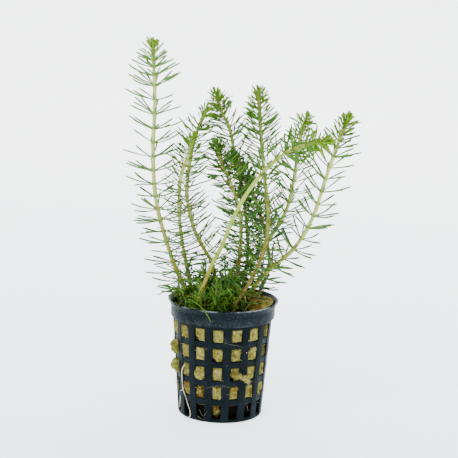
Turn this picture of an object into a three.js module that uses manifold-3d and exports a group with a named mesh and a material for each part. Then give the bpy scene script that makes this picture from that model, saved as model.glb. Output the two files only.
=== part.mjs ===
// A whorly rotala in a net pot: ten leafy stems and a mat of young shoots, rooted in a plug of rock
// wool that fills a black plastic net pot, with one white root outside the pot.
// Millimetres, +Z up. The pot stands on z = 0 and its axis is X = Y = 0. Its front faces -Y.

import * as THREE from 'three';
import { mergeVertices } from 'three/addons/utils/BufferGeometryUtils.js';
import Module from 'manifold-3d';

const wasm = await Module();
wasm.setup();

// Net pot
const POT_HEIGHT = 53;
const LIP_RADIUS = 25;
const RIM_RADIUS = 23.6;
const RIM_BOTTOM = 45.4;
const RIM_TOP = 50.6;
const WALL_TOP_RADIUS = 22.5;
const WALL_FOOT_RADIUS = 19.1;
const BASE_RADIUS = 17.6;
const BASE_EDGE_RADIUS = 18.7;
const BASE_EDGE_HEIGHT = 0.8;
const WALL = 0.9;
const FLOOR = 1.1;
const COLUMNS = 16;
const ROWS = 5;
const RIB_WIDTH = 3.56;
const WINDOW_HEIGHT = 6.1;
const ROW_PITCH = 8.95;
const FIRST_WINDOW = 2.2;
const FRONT_COLUMN_AZIMUTH = THREE.MathUtils.degToRad(-4.4);
const FLOOR_SLOT_INNER = 7;
const FLOOR_SLOT_OUTER = 15;

// Plug of rock wool
const TOUCH_GAP = 0.3;
const PLUG_SIDES = 16;
const PLUG_GAP = 0.35;
const PLUG_FOOT = 7.8;
const PLUG_EDGE = 44.5;
const PLUG_LOW_TOP = 46;
const PLUG_TOP_RISE = 5.8;
const PLUG_RISE_WAY = [0.9, 0.45];
const PLUG_RISE_FROM = -8;
const PLUG_RISE_TO = 16;
const PLUG_TOP_RADIUS = 21.1;
const PLUG_TOP_RINGS = [1, 0.7, 0.35];
const PLUG_ROUGHNESS = 0.7;
const SOCKET_GAP = 0.6;
const SOCKET_SIDES = 5;

// Stems and leaves
const STEM_SIDES = 4;
const STEM_TIP_SHARE = 0.88;
const STEM_TAPER_LENGTH = 60;
const SPINE_STEP = 3;
const TIP_LENGTH = 1.6;
const TIP_WHORL_GAP = 1.7;
const OPEN_WHORL_AT = 26;
const WHORL_HEIGHT = 0.7;
const CROWDED_GAP = 2.6;
const LOWEST_WHORL = 54.5;
const TIP_LEAF_SHARE = 0.36;
const FULL_LEAF_AT = 20;
const TIP_ANGLE = 28;
const OPEN_ANGLE_AT = 9;
const ANGLE_SPREAD = 14;
const LENGTH_SPREAD = 0.24;
const TURN_SPREAD = 16;
const LEAF_ROOT_WIDTH = 0.45;
const LEAFY_SHARE = 0.8;
const BARE_LEAFY_SHARE = 0.1;
const LEAF_GAP = 0.25;
const LEAF_MARGIN = 1;

// Where a leaf may go if its first place is taken: shares of its length, then how far it bends
// from the stem, in degrees, and turns round it, in radians
const SHORTER_LEAVES = [1, 0.8, 0.6];
const BENT_LEAVES = [[0, 0], [-14, 0], [12, 0], [0, 0.3], [0, -0.3], [-26, 0.2], [-26, -0.2]];

// Each stem's route runs from its foot in the wool to its tip. whorlGap is the distance between
// whorls low on the stem and where the shoot is open, and angle is how far the leaves stand off
// the stem there, in degrees. settled is how far the low leaves keep to one level all round a
// stem that leans. A stem has lost most leaves further from its tip than bareFrom, if it has one.
const STEMS = [
  {
    name: 'stem_tall_left', colour: '#b9c06a', radius: 0.95, leaf: 12.5, whorlGap: [4.2, 6.6],
    angle: [90, 66], settled: 0.9,
    route: [[-15, 3, 41.5], [-16.5, 3, 52.5], [-22, 4, 65], [-27, 4, 79], [-31.5, 3, 96],
      [-33.5, 2, 119.5], [-33, 1, 140], [-34.5, 0, 168]],
  },
  {
    name: 'stem_pale_left', colour: '#b4bb62', radius: 0.88, leaf: 10, whorlGap: [5, 4.9],
    angle: [88, 64], settled: 0.6,
    route: [[-12, 8.5, 41.5], [-14, 8, 50.5], [-18, 10, 68.5], [-20.5, 10, 82], [-21.5, 9, 96],
      [-21, 7, 106.5], [-17.5, 4, 118], [-15.5, 0, 127.5]],
  },
  {
    name: 'stem_back_left', colour: '#a3ac55', radius: 0.92, leaf: 11, whorlGap: [4.7, 4.6],
    angle: [88, 64], settled: 0.6,
    route: [[-1, 4.5, 41.5], [-2.5, 4, 53], [-6, 8, 68], [-9.5, 9, 73.5], [-14.5, 10, 83],
      [-18, 10, 98], [-17, 10, 114], [-14.5, 9, 126.5], [-10, 8, 138.5]],
  },
  {
    name: 'stem_back', colour: '#9aa34e', radius: 0.9, leaf: 10, whorlGap: [5.3, 5.5],
    angle: [84, 60], settled: 0.6,
    route: [[9, 12, 43], [9.5, 12, 55], [10.5, 16, 73], [9.5, 19, 84], [7, 20, 100],
      [3.5, 18.5, 114], [0, 16, 129], [-4, 14, 137], [-6.5, 13, 145]],
  },
  {
    name: 'stem_dark_back', colour: '#7a6a34', radius: 0.9, leaf: 8, whorlGap: [5.2, 3.5],
    angle: [80, 58], settled: 0.4,
    route: [[14.5, 8, 44], [16, 9, 53], [20.5, 13, 64], [20, 16, 72.5], [16.5, 17, 86],
      [12.5, 17, 97], [7, 15, 107], [3, 12, 117.5]],
  },
  {
    name: 'stem_short_middle', colour: '#8d6a3c', radius: 0.88, leaf: 11.5, whorlGap: [4.9, 4.3],
    angle: [84, 64], settled: 0.4,
    route: [[3.5, 0, 42], [4.5, 0, 54], [6.5, 3, 69.5], [7, 7, 82.5], [5.5, 8, 94],
      [1.5, 6, 105], [-2.5, 4, 114], [-5.5, 2, 124]],
  },
  {
    name: 'stem_leaning_front', colour: '#c3c78a', radius: 1.15, leaf: 10, whorlGap: [5.6, 5.3],
    angle: [80, 60], settled: 0, bareFrom: 40,
    route: [[-13.5, -10, 41.5], [-12, -9, 52], [-8, -7, 63], [-5.5, -6, 70], [-1.5, -7, 78.5],
      [3, -8, 91], [8.5, -11, 103], [15.5, -14, 113.5], [25, -19, 123.5], [35, -25, 128.5],
      [43, -28, 130.5]],
  },
  {
    name: 'stem_middle_right', colour: '#93603a', radius: 1, leaf: 10.5, whorlGap: [4.3, 4.1],
    angle: [84, 60], settled: 0.4,
    route: [[4, -13, 42], [5, -12, 52], [11, -8, 62], [17.5, -4, 76.5], [19, 0, 90],
      [17.5, 3, 102.5], [14.5, 7, 126], [12.5, 8, 147]],
  },
  {
    name: 'stem_back_right', colour: '#9a9a4c', radius: 0.95, leaf: 10.5, whorlGap: [5.3, 5],
    angle: [84, 60], settled: 0.4,
    route: [[4.5, 5, 43], [5.5, 5, 55], [11, 10, 67], [17, 12, 74.5], [22.5, 12, 82.5],
      [27.5, 10, 93.5], [30, 8, 106.5], [31, 6, 118.5], [32, 4, 127], [34, 2, 136]],
  },
  {
    name: 'stem_far_right', colour: '#b0a556', radius: 0.98, leaf: 11.5, whorlGap: [6.3, 5.9],
    angle: [82, 60], settled: 0.3,
    route: [[9, 0.5, 43], [10.5, 1, 53], [19, 2, 65], [30.5, 2, 76], [38, 0, 89.5],
      [44.5, -2, 112.5], [48.5, -3, 126], [52, -4, 137.5]],
  },
];

// The young shoots of the mat, each from its foot in the wool to its tip
const SHOOT = {
  colour: '#5c8a2c', radius: 0.55, leaf: 7, whorlGap: [3.2, 3.2],
  angle: [76, 54], settled: 0,
};
const SHOOT_LEAFY_SHARE = 0.66;
const SHOOT_ROUTES = [
  [[-17.5, -5, 42], [-18.5, -5.5, 52], [-21, -6, 65]],
  [[-9, -15, 42], [-9.5, -16, 52], [-11, -18, 65]],
  [[-3.5, -14, 42], [-3.5, -15, 52], [-3, -16.5, 66]],
  [[-7.5, -2.5, 42], [-8, -2.5, 52], [-9.5, -1.5, 69]],
  [[-7, 11.5, 42], [-7.5, 12.5, 52], [-9, 14, 67]],
  [[1, -7.5, 42], [1.5, -7.5, 52], [3, -8, 67]],
  [[1, 14, 42], [1, 14.5, 53], [0, 16, 68]],
  [[-14, 13.5, 42], [-14.5, 14.5, 52], [-17, 16.5, 65]],
];

// What pushes out through the pot's windows, by azimuth in degrees and height
const LUMPS = [
  { azimuth: -71.9, height: 31.9 },
  { azimuth: -71.9, height: 23.1 },
];
const LUMP_CENTRE_DEPTH = 1.7;
const LUMP_MERIDIANS = 6;
const LUMP_BANDS = 4;
const LUMP_SIZE = [3.7, 1.75, 2.65];
const FOOT_LUMP_PLACE = [-1.5, -14.5];
const FOOT_LUMP_SIZE = [2.6, 2.6, 6.6];
const TUFT_RADIUS = 1.25;
const TUFT_SIDES = 5;
const TUFT_STEPS = 4;
const TUFT_ROUTE = [[19, 22.8, -5], [19.5, 22.8, -1], [22.5, 23, 1.4], [27.5, 22.3, 1.9],
  [34, 20.6, 1.8]];

// The white root, by azimuth in degrees, height, and distance out from the pot's wall
const ROOT_RADIUS = 0.36;
const ROOT_SIDES = 4;
const ROOT_STEPS = 10;
const ROOT_ROUTE = [[-51.8, 25.2, -0.5], [-53.5, 23.6, 0.5], [-55.8, 20.5, 0.75], [-56, 15.5, 0.75],
  [-51, 11, 0.8], [-45.5, 7, 0.8], [-42, 3.6, 0.75], [-42.5, 1.8, 0.8], [-47.5, 1.3, 0.9]];

const POT_BLACK = '#1c222b';
const WOOL_TAN = '#b6a666';
const ROOT_WHITE = '#e4dfc9';
const POT_SHEEN = 0.45;
const WOOL_SHEEN = 0.95;
const PLANT_SHEEN = 0.6;

// Keys and multipliers of the hash behind chance()
const HASH_SEED = 2166136261;
const HASH_STEP = 16777619;
const HASH_MIX = 1540483477;
const HASH_RANGE = 4294967296;
const HEIGHT_KEY = 7;

const BACK = new THREE.Vector3(0, 1, 0);
const { degToRad, lerp, smoothstep } = THREE.MathUtils;

// A point from its azimuth, which is 0 at the front and grows towards +X, its radius and height
function polar(azimuth, radius, height) {
  return new THREE.Vector3(radius * Math.sin(azimuth), -radius * Math.cos(azimuth), height);
}

function wallRadius(height) {
  return lerp(WALL_FOOT_RADIUS, WALL_TOP_RADIUS, height / RIM_BOTTOM);
}

// The same number between 0 and 1 each time for the same keys
function chance(...keys) {
  let hash = HASH_SEED;
  for (const key of keys) {
    hash = Math.imul(hash ^ (key + 1), HASH_STEP);
    hash ^= hash >>> 13;
  }
  hash = Math.imul(hash, HASH_MIX);
  hash ^= hash >>> 15;
  return (hash >>> 0) / HASH_RANGE;
}

// Between -half and +half of the spread
function stray(spread, ...keys) {
  return spread * (chance(...keys) - 0.5);
}

// The corners and faces of one closed surface. Faces turn anticlockwise seen from outside.
class Surface {
  constructor() {
    this.corners = [];
    this.faces = [];
  }

  corner(point) {
    this.corners.push(point.x, point.y, point.z);
    return this.corners.length / 3 - 1;
  }

  face(a, b, c) {
    this.faces.push(a, b, c);
  }

  quad(a, b, c, d) {
    this.face(a, b, c);
    this.face(a, c, d);
  }

  // Joins two rings of corners, the second above or inside the first
  band(lower, upper) {
    lower.forEach((corner, i) => {
      const next = (i + 1) % lower.length;
      this.quad(corner, lower[next], upper[next], upper[i]);
    });
  }

  // Closes a ring onto one corner, which lies above or inside it
  fan(ring, tip) {
    ring.forEach((corner, i) => this.face(corner, ring[(i + 1) % ring.length], tip));
  }

  geometry() {
    const geometry = new THREE.BufferGeometry();
    geometry.setAttribute('position', new THREE.Float32BufferAttribute(this.corners, 3));
    geometry.setIndex(this.faces);
    return geometry;
  }
}

function toSolid(geometry) {
  const bare = geometry.clone();
  bare.deleteAttribute('normal');
  bare.deleteAttribute('uv');
  const merged = mergeVertices(bare);
  return new wasm.Manifold(new wasm.Mesh({
    numProp: 3,
    vertProperties: new Float32Array(merged.attributes.position.array),
    triVerts: new Uint32Array(merged.index.array),
  }));
}

function toGeometry(solid) {
  const mesh = solid.getMesh();
  const geometry = new THREE.BufferGeometry();
  geometry.setAttribute('position', new THREE.BufferAttribute(mesh.vertProperties, 3));
  geometry.setIndex(new THREE.BufferAttribute(mesh.triVerts, 1));
  return geometry;
}

function mesh(name, geometry, colour, roughness) {
  geometry.computeVertexNormals();
  const finish = { color: colour, roughness, metalness: 0, flatShading: true };
  const piece = new THREE.Mesh(geometry, new THREE.MeshStandardMaterial(finish));
  piece.name = name;
  return piece;
}

// A tube of round section along a curve, with closed ends
function tube(curve, radius, sides, steps) {
  const circle = new THREE.Path().absarc(0, 0, radius, 0, 2 * Math.PI);
  const section = new THREE.Shape(circle.getSpacedPoints(sides));
  return new THREE.ExtrudeGeometry(section, { steps, extrudePath: curve });
}

// The pot is one closed skin: up the outside, over the lip and down the inside. It is made of
// columns, windows and ribs in turn. A window leaves out its part of the outside and the inside,
// and four small walls join the two. The slots of the floor are made in the same way.
function potGeometry() {
  const rows = Array.from({ length: ROWS }, (_, row) => FIRST_WINDOW + row * ROW_PITCH);
  const outside = [
    [FLOOR_SLOT_INNER, 0],
    [FLOOR_SLOT_OUTER, 0],
    [BASE_RADIUS, 0],
    [BASE_EDGE_RADIUS, BASE_EDGE_HEIGHT],
  ];
  const inside = [
    [FLOOR_SLOT_INNER, FLOOR],
    [FLOOR_SLOT_OUTER, FLOOR],
    [BASE_RADIUS - WALL / 2, FLOOR],
  ];
  const openings = [{ below: 0, inner: 0, open: column => column % 4 === 0 }];
  for (const sill of rows) {
    openings.push({ below: outside.length, inner: inside.length, open: column => column % 2 === 0 });
    for (const height of [sill, sill + WINDOW_HEIGHT]) {
      outside.push([wallRadius(height), height]);
      inside.push([wallRadius(height) - WALL, height]);
    }
  }
  outside.push(
    [WALL_TOP_RADIUS, RIM_BOTTOM],
    [RIM_RADIUS, RIM_BOTTOM],
    [RIM_RADIUS, RIM_TOP],
    [LIP_RADIUS, POT_HEIGHT],
  );
  inside.push(
    [WALL_TOP_RADIUS - WALL, RIM_BOTTOM],
    [RIM_RADIUS - WALL, RIM_BOTTOM + WALL],
    [RIM_RADIUS - WALL, RIM_TOP],
    [LIP_RADIUS - WALL, POT_HEIGHT],
  );

  const skin = new Surface();
  const pitch = 2 * Math.PI / COLUMNS;
  const ringOf = ([radius, height]) => Array.from({ length: 2 * COLUMNS }, (_, station) => {
    const ribHalf = Math.min(Math.asin(RIB_WIDTH / 2 / radius), pitch / 4);
    const side = station % 2 === 0 ? -1 : 1;
    const column = FRONT_COLUMN_AZIMUTH + Math.floor(station / 2) * pitch;
    return skin.corner(polar(column + side * (pitch / 2 - ribHalf), radius, height));
  });
  const outer = outside.map(ringOf);
  const inner = inside.map(ringOf);
  const isOpen = (level, column, key) => openings.some(it => it[key] === level && it.open(column));

  for (let column = 0; column < 2 * COLUMNS; column++) {
    const next = (column + 1) % (2 * COLUMNS);
    for (let level = 0; level + 1 < outer.length; level++) {
      const [low, high] = [outer[level], outer[level + 1]];
      if (isOpen(level, column, 'below')) continue;
      skin.quad(low[column], low[next], high[next], high[column]);
    }
    for (let level = 0; level + 1 < inner.length; level++) {
      const [low, high] = [inner[level], inner[level + 1]];
      if (isOpen(level, column, 'inner')) continue;
      skin.quad(high[column], high[next], low[next], low[column]);
    }
    for (const opening of openings.filter(it => it.open(column))) {
      const [a, b] = [outer[opening.below][column], outer[opening.below][next]];
      const [d, c] = [outer[opening.below + 1][column], outer[opening.below + 1][next]];
      const [a2, b2] = [inner[opening.inner][column], inner[opening.inner][next]];
      const [d2, c2] = [inner[opening.inner + 1][column], inner[opening.inner + 1][next]];
      skin.quad(a, b, b2, a2);
      skin.quad(b, c, c2, b2);
      skin.quad(c, d, d2, c2);
      skin.quad(d, a, a2, d2);
    }
  }
  skin.band(outer.at(-1), inner.at(-1));
  skin.fan([...outer[0]].reverse(), skin.corner(new THREE.Vector3(0, 0, 0)));
  skin.fan(inner[0], skin.corner(new THREE.Vector3(0, 0, FLOOR)));
  return skin.geometry();
}

// The wool's top lies low at the left and rises to the rim at the right and the back
function plugTop(x, y) {
  const [wayX, wayY] = PLUG_RISE_WAY;
  return PLUG_LOW_TOP + PLUG_TOP_RISE * smoothstep(wayX * x + wayY * y, PLUG_RISE_FROM, PLUG_RISE_TO);
}

function plugGeometry() {
  const skin = new Surface();
  const innerWall = height => wallRadius(height) - WALL - PLUG_GAP;
  const ringOf = (level, radius, heightAt) => Array.from({ length: PLUG_SIDES }, (_, station) => {
    const azimuth = 2 * Math.PI * station / PLUG_SIDES;
    const flat = polar(azimuth, radius - PLUG_ROUGHNESS * chance(level, station), 0);
    flat.z = heightAt(flat.x, flat.y) + stray(PLUG_ROUGHNESS, station, level, HEIGHT_KEY);
    return skin.corner(flat);
  });
  const rings = [
    ringOf(0, PLUG_TOP_RADIUS / 2, () => PLUG_FOOT),
    ringOf(1, innerWall(PLUG_FOOT), () => PLUG_FOOT),
    ringOf(2, innerWall(PLUG_EDGE) - PLUG_ROUGHNESS / 2, () => PLUG_EDGE),
    ...PLUG_TOP_RINGS.map((share, i) => ringOf(3 + i, PLUG_TOP_RADIUS * share, plugTop)),
  ];
  rings.slice(1).forEach((ring, i) => skin.band(rings[i], ring));
  skin.fan([...rings[0]].reverse(), skin.corner(new THREE.Vector3(0, 0, PLUG_FOOT)));
  skin.fan(rings.at(-1), skin.corner(new THREE.Vector3(0, 0, plugTop(0, 0))));
  return skin.geometry();
}

function roundLump(size) {
  return new THREE.SphereGeometry(1, LUMP_MERIDIANS, LUMP_BANDS).rotateX(Math.PI / 2).scale(...size);
}

// A lump that fills a window of the pot and swells past its face
function windowLump({ azimuth, height }) {
  const turn = degToRad(azimuth);
  const centre = polar(turn, wallRadius(height) - LUMP_CENTRE_DEPTH, height);
  return roundLump(LUMP_SIZE).rotateZ(turn - Math.PI / 2).translate(...centre);
}

// A lump under the plug, which stands on the pot's floor behind the front column of windows
function footLump() {
  const [x, y] = FOOT_LUMP_PLACE;
  return roundLump(FOOT_LUMP_SIZE).translate(x, y, FLOOR + TOUCH_GAP + FOOT_LUMP_SIZE[2]);
}

// A curve that keeps to the pot's wall, through points given as azimuth, height and distance out
function wallCurve(route) {
  return new THREE.CatmullRomCurve3(route.map(([azimuth, height, out]) =>
    polar(degToRad(azimuth), wallRadius(height) + out, height)));
}

// The hole that a stem's foot stands in, as straight as the stem is up to its lowest whorl
function socket(stem) {
  const run = stem.curve.getPointAt(1 - stem.whorls.at(-1) / stem.length).sub(stem.foot);
  const length = run.length();
  return new THREE.CylinderGeometry(stem.radius + SOCKET_GAP, stem.radius + SOCKET_GAP, length, SOCKET_SIDES)
    .translate(0, length / 2 - TOUCH_GAP, 0)
    .applyQuaternion(new THREE.Quaternion().setFromUnitVectors(BACK, run.normalize()))
    .translate(...stem.foot);
}

function woolGeometry(stems) {
  const additions = [
    ...LUMPS.map(windowLump),
    footLump(),
    tube(wallCurve(TUFT_ROUTE), TUFT_RADIUS, TUFT_SIDES, TUFT_STEPS),
  ];
  let wool = toSolid(plugGeometry());
  for (const addition of additions) wool = wool.add(toSolid(addition));
  for (const stem of stems) wool = wool.subtract(toSolid(socket(stem)));
  return toGeometry(wool);
}

function growStem(details, index, leafyShare) {
  const points = details.route.map(point => new THREE.Vector3(...point));
  const curve = new THREE.CatmullRomCurve3(points, false, 'centripetal');
  const stem = { ...details, index, leafyShare, curve, length: curve.getLength(), foot: curve.getPointAt(0) };
  stem.whorls = whorlPlaces(stem);
  stem.spine = curve.getSpacedPoints(Math.ceil(stem.length / SPINE_STEP));
  return stem;
}

// Distances from the tip of the whorls, from the tip down to the mouth of the pot
function whorlPlaces(stem) {
  const [lowGap, openGap] = stem.whorlGap;
  const places = [];
  let fromTip = TIP_LENGTH + WHORL_HEIGHT;
  while (fromTip < stem.length && stem.curve.getPointAt(1 - fromTip / stem.length).z > LOWEST_WHORL) {
    places.push(fromTip);
    const low = smoothstep(fromTip, OPEN_WHORL_AT, stem.length);
    fromTip += lerp(TIP_WHORL_GAP, lerp(openGap, lowGap, low), smoothstep(fromTip, 0, OPEN_WHORL_AT));
  }
  return places;
}

// The middle of the stem and the directions along it and round it, a given way from the tip
function frameAt(stem, fromTip) {
  const place = Math.max(0, 1 - fromTip / stem.length);
  const along = stem.curve.getTangentAt(place);
  const right = new THREE.Vector3().crossVectors(BACK, along).normalize();
  const forward = new THREE.Vector3().crossVectors(along, right);
  return {
    centre: stem.curve.getPointAt(place),
    along,
    round: turn => right.clone().multiplyScalar(Math.cos(turn)).addScaledVector(forward, Math.sin(turn)),
  };
}

function stemRing(skin, stem, fromTip, phase) {
  const frame = frameAt(stem, fromTip);
  const radius = stem.radius * lerp(STEM_TIP_SHARE, 1, smoothstep(fromTip, 0, STEM_TAPER_LENGTH));
  return Array.from({ length: STEM_SIDES }, (_, side) => {
    const turn = phase + 2 * Math.PI * side / STEM_SIDES;
    return skin.corner(frame.centre.clone().addScaledVector(frame.round(turn), radius));
  });
}

// Where a leaf's tip may lie: the way it first grows, then turned, bent or shortened a little
function* leafTries(stem, root, fromTip, turn, keys) {
  const frame = frameAt(stem, fromTip);
  const low = smoothstep(fromTip, OPEN_WHORL_AT, stem.length);
  const wide = lerp(stem.angle[1], stem.angle[0], low);
  const spread = lerp(TIP_ANGLE, wide, smoothstep(fromTip, 0, OPEN_ANGLE_AT));
  const angle = spread + stray(ANGLE_SPREAD, ...keys, 1);
  const grown = lerp(TIP_LEAF_SHARE, 1, smoothstep(fromTip, 0, FULL_LEAF_AT));
  const length = stem.leaf * grown * (1 + stray(LENGTH_SPREAD, ...keys, 2));
  const swing = degToRad(stray(TURN_SPREAD, ...keys, 3));
  for (const share of SHORTER_LEAVES) {
    for (const [bend, twist] of BENT_LEAVES) {
      const lean = degToRad(angle + bend);
      const way = frame.round(turn + swing + twist).multiplyScalar(Math.sin(lean));
      way.addScaledVector(frame.along, Math.cos(lean));
      way.z = lerp(way.z, Math.cos(lean), stem.settled * low);
      yield root.clone().addScaledVector(way.normalize(), length * share);
    }
  }
}

const placedLeaves = [];

function needleWidth(line, point) {
  return LEAF_ROOT_WIDTH * (1 - line.closestPointToPointParameter(point, true));
}

function linesClear(line, other, gap) {
  const near = new THREE.Vector3();
  const far = new THREE.Vector3();
  const distance = Math.sqrt(line.distanceSqToLine3(other.line, near, far));
  const otherWidth = other.radius ?? needleWidth(other.line, far);
  return distance > gap + needleWidth(line, near) + otherWidth;
}

function clearOfPotAndWool(line) {
  return [0.2, 0.4, 0.6, 0.8, 1].every(share => {
    const point = line.at(share, new THREE.Vector3());
    const out = Math.hypot(point.x, point.y);
    if (point.z > POT_HEIGHT + 2 * TOUCH_GAP) return true;
    if (out > RIM_RADIUS - WALL - LEAF_MARGIN) return out > LIP_RADIUS + LEAF_MARGIN;
    return point.z > plugTop(point.x, point.y) + 2 * PLUG_ROUGHNESS;
  });
}

function leafFits(line, stem, whorl, obstacles) {
  const middle = line.getCenter(new THREE.Vector3());
  const reach = line.distance() / 2;
  if (!clearOfPotAndWool(line)) return false;
  return obstacles.every(other => {
    const own = other.index === stem.index;
    if (own && (other.whorl === undefined || Math.abs(other.whorl - whorl) < 2)) return true;
    if (middle.distanceTo(other.middle) > reach + other.reach + 2 * LEAF_MARGIN) return true;
    return linesClear(line, other, LEAF_GAP);
  });
}

function asObstacle(line, details) {
  return { line, middle: line.getCenter(new THREE.Vector3()), reach: line.distance() / 2, ...details };
}

function stemObstacles(stem) {
  return stem.spine.slice(1).map((point, i) =>
    asObstacle(new THREE.Line3(stem.spine[i], point), { index: stem.index, radius: stem.radius }));
}

// One leaf: a three-sided needle that grows from a three-cornered face of the stem
function addLeaf(skin, stem, whorl, place, corners, turn, obstacles) {
  const keys = [stem.index, whorl, place];
  const points = corners.map(corner => new THREE.Vector3().fromArray(skin.corners, 3 * corner));
  const root = new THREE.Triangle(...points).getMidpoint(new THREE.Vector3());
  const fromTip = stem.whorls[whorl];
  const leafyShare = fromTip > stem.bareFrom ? BARE_LEAFY_SHARE : stem.leafyShare;
  const tries = chance(...keys) < leafyShare ? leafTries(stem, root, fromTip, turn, keys) : [];
  for (const tip of tries) {
    const line = new THREE.Line3(root, tip);
    if (leafFits(line, stem, whorl, obstacles)) {
      placedLeaves.push(asObstacle(line, { index: stem.index, whorl }));
      skin.fan(corners, skin.corner(tip));
      return;
    }
  }
  skin.face(...corners);
}

// A whorl is a band of the stem between two rings that are half a step apart, so it has twice as
// many three-cornered faces as the stem has sides. Most of them carry a leaf.
function addWhorl(skin, stem, whorl, lower, upper, phase, obstacles) {
  const step = 2 * Math.PI / STEM_SIDES;
  lower.forEach((corner, side) => {
    const next = (side + 1) % STEM_SIDES;
    const turn = phase + (side + 0.5) * step;
    const low = [corner, lower[next], upper[side]];
    const high = [upper[side], lower[next], upper[next]];
    addLeaf(skin, stem, whorl, 2 * side, low, turn, obstacles);
    addLeaf(skin, stem, whorl, 2 * side + 1, high, turn + step / 2, obstacles);
  });
}

function stemGeometry(stem, stemsAround) {
  const skin = new Surface();
  const obstacles = () => [...stemsAround, ...placedLeaves];
  const halfStep = Math.PI / STEM_SIDES;
  let phase = 0;
  let ring = stemRing(skin, stem, stem.length, phase);
  skin.fan([...ring].reverse(), skin.corner(stem.foot));
  for (let whorl = stem.whorls.length - 1; whorl >= 0; whorl--) {
    const fromTip = stem.whorls[whorl];
    const below = stem.whorls[whorl + 1] ?? stem.length;
    if (below - fromTip > CROWDED_GAP) {
      const start = stemRing(skin, stem, fromTip + WHORL_HEIGHT / 2, phase);
      skin.band(ring, start);
      ring = start;
    }
    const end = stemRing(skin, stem, fromTip - WHORL_HEIGHT / 2, phase + halfStep);
    addWhorl(skin, stem, whorl, ring, end, phase, obstacles());
    phase += halfStep;
    ring = end;
  }
  skin.fan(ring, skin.corner(stem.curve.getPointAt(1)));
  return skin.geometry();
}

const shoots = SHOOT_ROUTES.map((route, i) => ({ ...SHOOT, name: `young_shoot_${i + 1}`, route }));
const stems = [
  ...STEMS.map((stem, i) => growStem(stem, i, LEAFY_SHARE)),
  ...shoots.map((shoot, i) => growStem(shoot, STEMS.length + i, SHOOT_LEAFY_SHARE)),
];
const stemsAround = stems.flatMap(stemObstacles);
const rootGeometry = tube(wallCurve(ROOT_ROUTE), ROOT_RADIUS, ROOT_SIDES, ROOT_STEPS);

const plant = new THREE.Group();
for (const stem of stems) {
  plant.add(mesh(stem.name, stemGeometry(stem, stemsAround), stem.colour, PLANT_SHEEN));
}
plant.add(mesh('white_root', rootGeometry, ROOT_WHITE, PLANT_SHEEN));

const group = new THREE.Group();
group.add(
  mesh('net_pot', potGeometry(), POT_BLACK, POT_SHEEN),
  mesh('rock_wool', woolGeometry(stems), WOOL_TAN, WOOL_SHEEN),
  plant,
);

export default group;
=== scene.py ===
"""A whorly rotala in a net pot: the finish of the pot, the rock wool, the stems, leaves and roots.

Lengths are in metres, and MM turns millimetres into them. The stems and leaves are read from the
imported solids, so each finished leaf grows where its solid does. The pot's axis is x = y = 0, its
base is on z = 0, and its front faces -y.
"""

import math
from types import SimpleNamespace

import bpy
import numpy as np
from mathutils import Matrix, Vector, noise


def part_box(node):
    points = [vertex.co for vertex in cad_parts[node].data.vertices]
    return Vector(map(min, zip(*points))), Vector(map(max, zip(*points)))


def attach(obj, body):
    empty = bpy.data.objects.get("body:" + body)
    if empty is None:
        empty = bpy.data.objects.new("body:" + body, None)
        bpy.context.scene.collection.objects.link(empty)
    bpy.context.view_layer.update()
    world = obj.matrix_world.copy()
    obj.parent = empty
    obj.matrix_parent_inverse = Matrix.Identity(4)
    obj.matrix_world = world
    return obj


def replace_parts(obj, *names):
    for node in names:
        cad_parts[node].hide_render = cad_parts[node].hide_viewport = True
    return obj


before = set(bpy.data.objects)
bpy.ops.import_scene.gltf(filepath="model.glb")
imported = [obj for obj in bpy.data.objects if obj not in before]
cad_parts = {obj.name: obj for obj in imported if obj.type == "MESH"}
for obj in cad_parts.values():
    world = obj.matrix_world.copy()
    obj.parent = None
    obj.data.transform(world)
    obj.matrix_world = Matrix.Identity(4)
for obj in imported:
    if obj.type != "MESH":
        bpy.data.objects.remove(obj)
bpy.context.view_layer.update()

MM = 0.001
UP = np.array([0.0, 0.0, 1.0])
SEED = 20
rng = np.random.default_rng(SEED)

# Net pot
LIP_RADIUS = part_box("net_pot")[1].x
POT_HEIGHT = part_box("net_pot")[1].z
RIM_RADIUS = 23.6 * MM
RIM_BOTTOM = 45.4 * MM
RIM_TOP = 50.6 * MM
WALL_TOP_RADIUS = 22.5 * MM
WALL_FOOT_RADIUS = 19.1 * MM
BASE_RADIUS = 18.5 * MM
WALL = 0.9 * MM
FLOOR = 1.1 * MM
COLUMNS = 16
ROWS = 5
PITCH = 2 * math.pi / COLUMNS
RIB_HALF = 1.78 * MM
WINDOW_HEIGHT = 6.1 * MM
ROW_PITCH = 8.95 * MM
FIRST_WINDOW = 2.2 * MM
FRONT_COLUMN = math.radians(-4.4)
RING_RECESS = 0.32 * MM
EDGE_ROUNDING = 0.28 * MM
RIM_ROUNDING = 0.3 * MM
LIP_ROUNDING = 0.25 * MM
FLARE_CURVE = 1.6
FOOT_EDGE = 0.9 * MM
SLOT_INNER = 7 * MM
SLOT_OUTER = 15 * MM

# Where the pot's mesh has points: from a window's edge, as shares of a window's half width, and as
# shares of a rib's
EDGE_STATIONS = np.array([0, 0.12, 0.35]) * MM
WINDOW_STATIONS = np.array([-0.45, 0, 0.45])
RIB_STATIONS = np.array([-0.95, -0.8, 0, 0.8, 0.95])
WINDOW_CELLS = 2 * len(EDGE_STATIONS) + len(WINDOW_STATIONS) - 1
STATIONS = WINDOW_CELLS + 1 + len(RIB_STATIONS)

# Rock wool
WOOL_FOOT = 7.8 * MM
WOOL_LOW_TOP = 46 * MM
WOOL_TOP_RISE = 7.0 * MM
WOOL_TOP_RADIUS = 21.3 * MM
WOOL_GAP = 0.3 * MM
WOOL_STATIONS = 400
WOOL_LEVELS = 120
WOOL_TOP_RINGS = 44
RIM_GAP_AT = math.radians(121)
RIM_GAP_WIDTH = 0.17
RIM_GAP_DEPTH = 3.2 * MM

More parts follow.
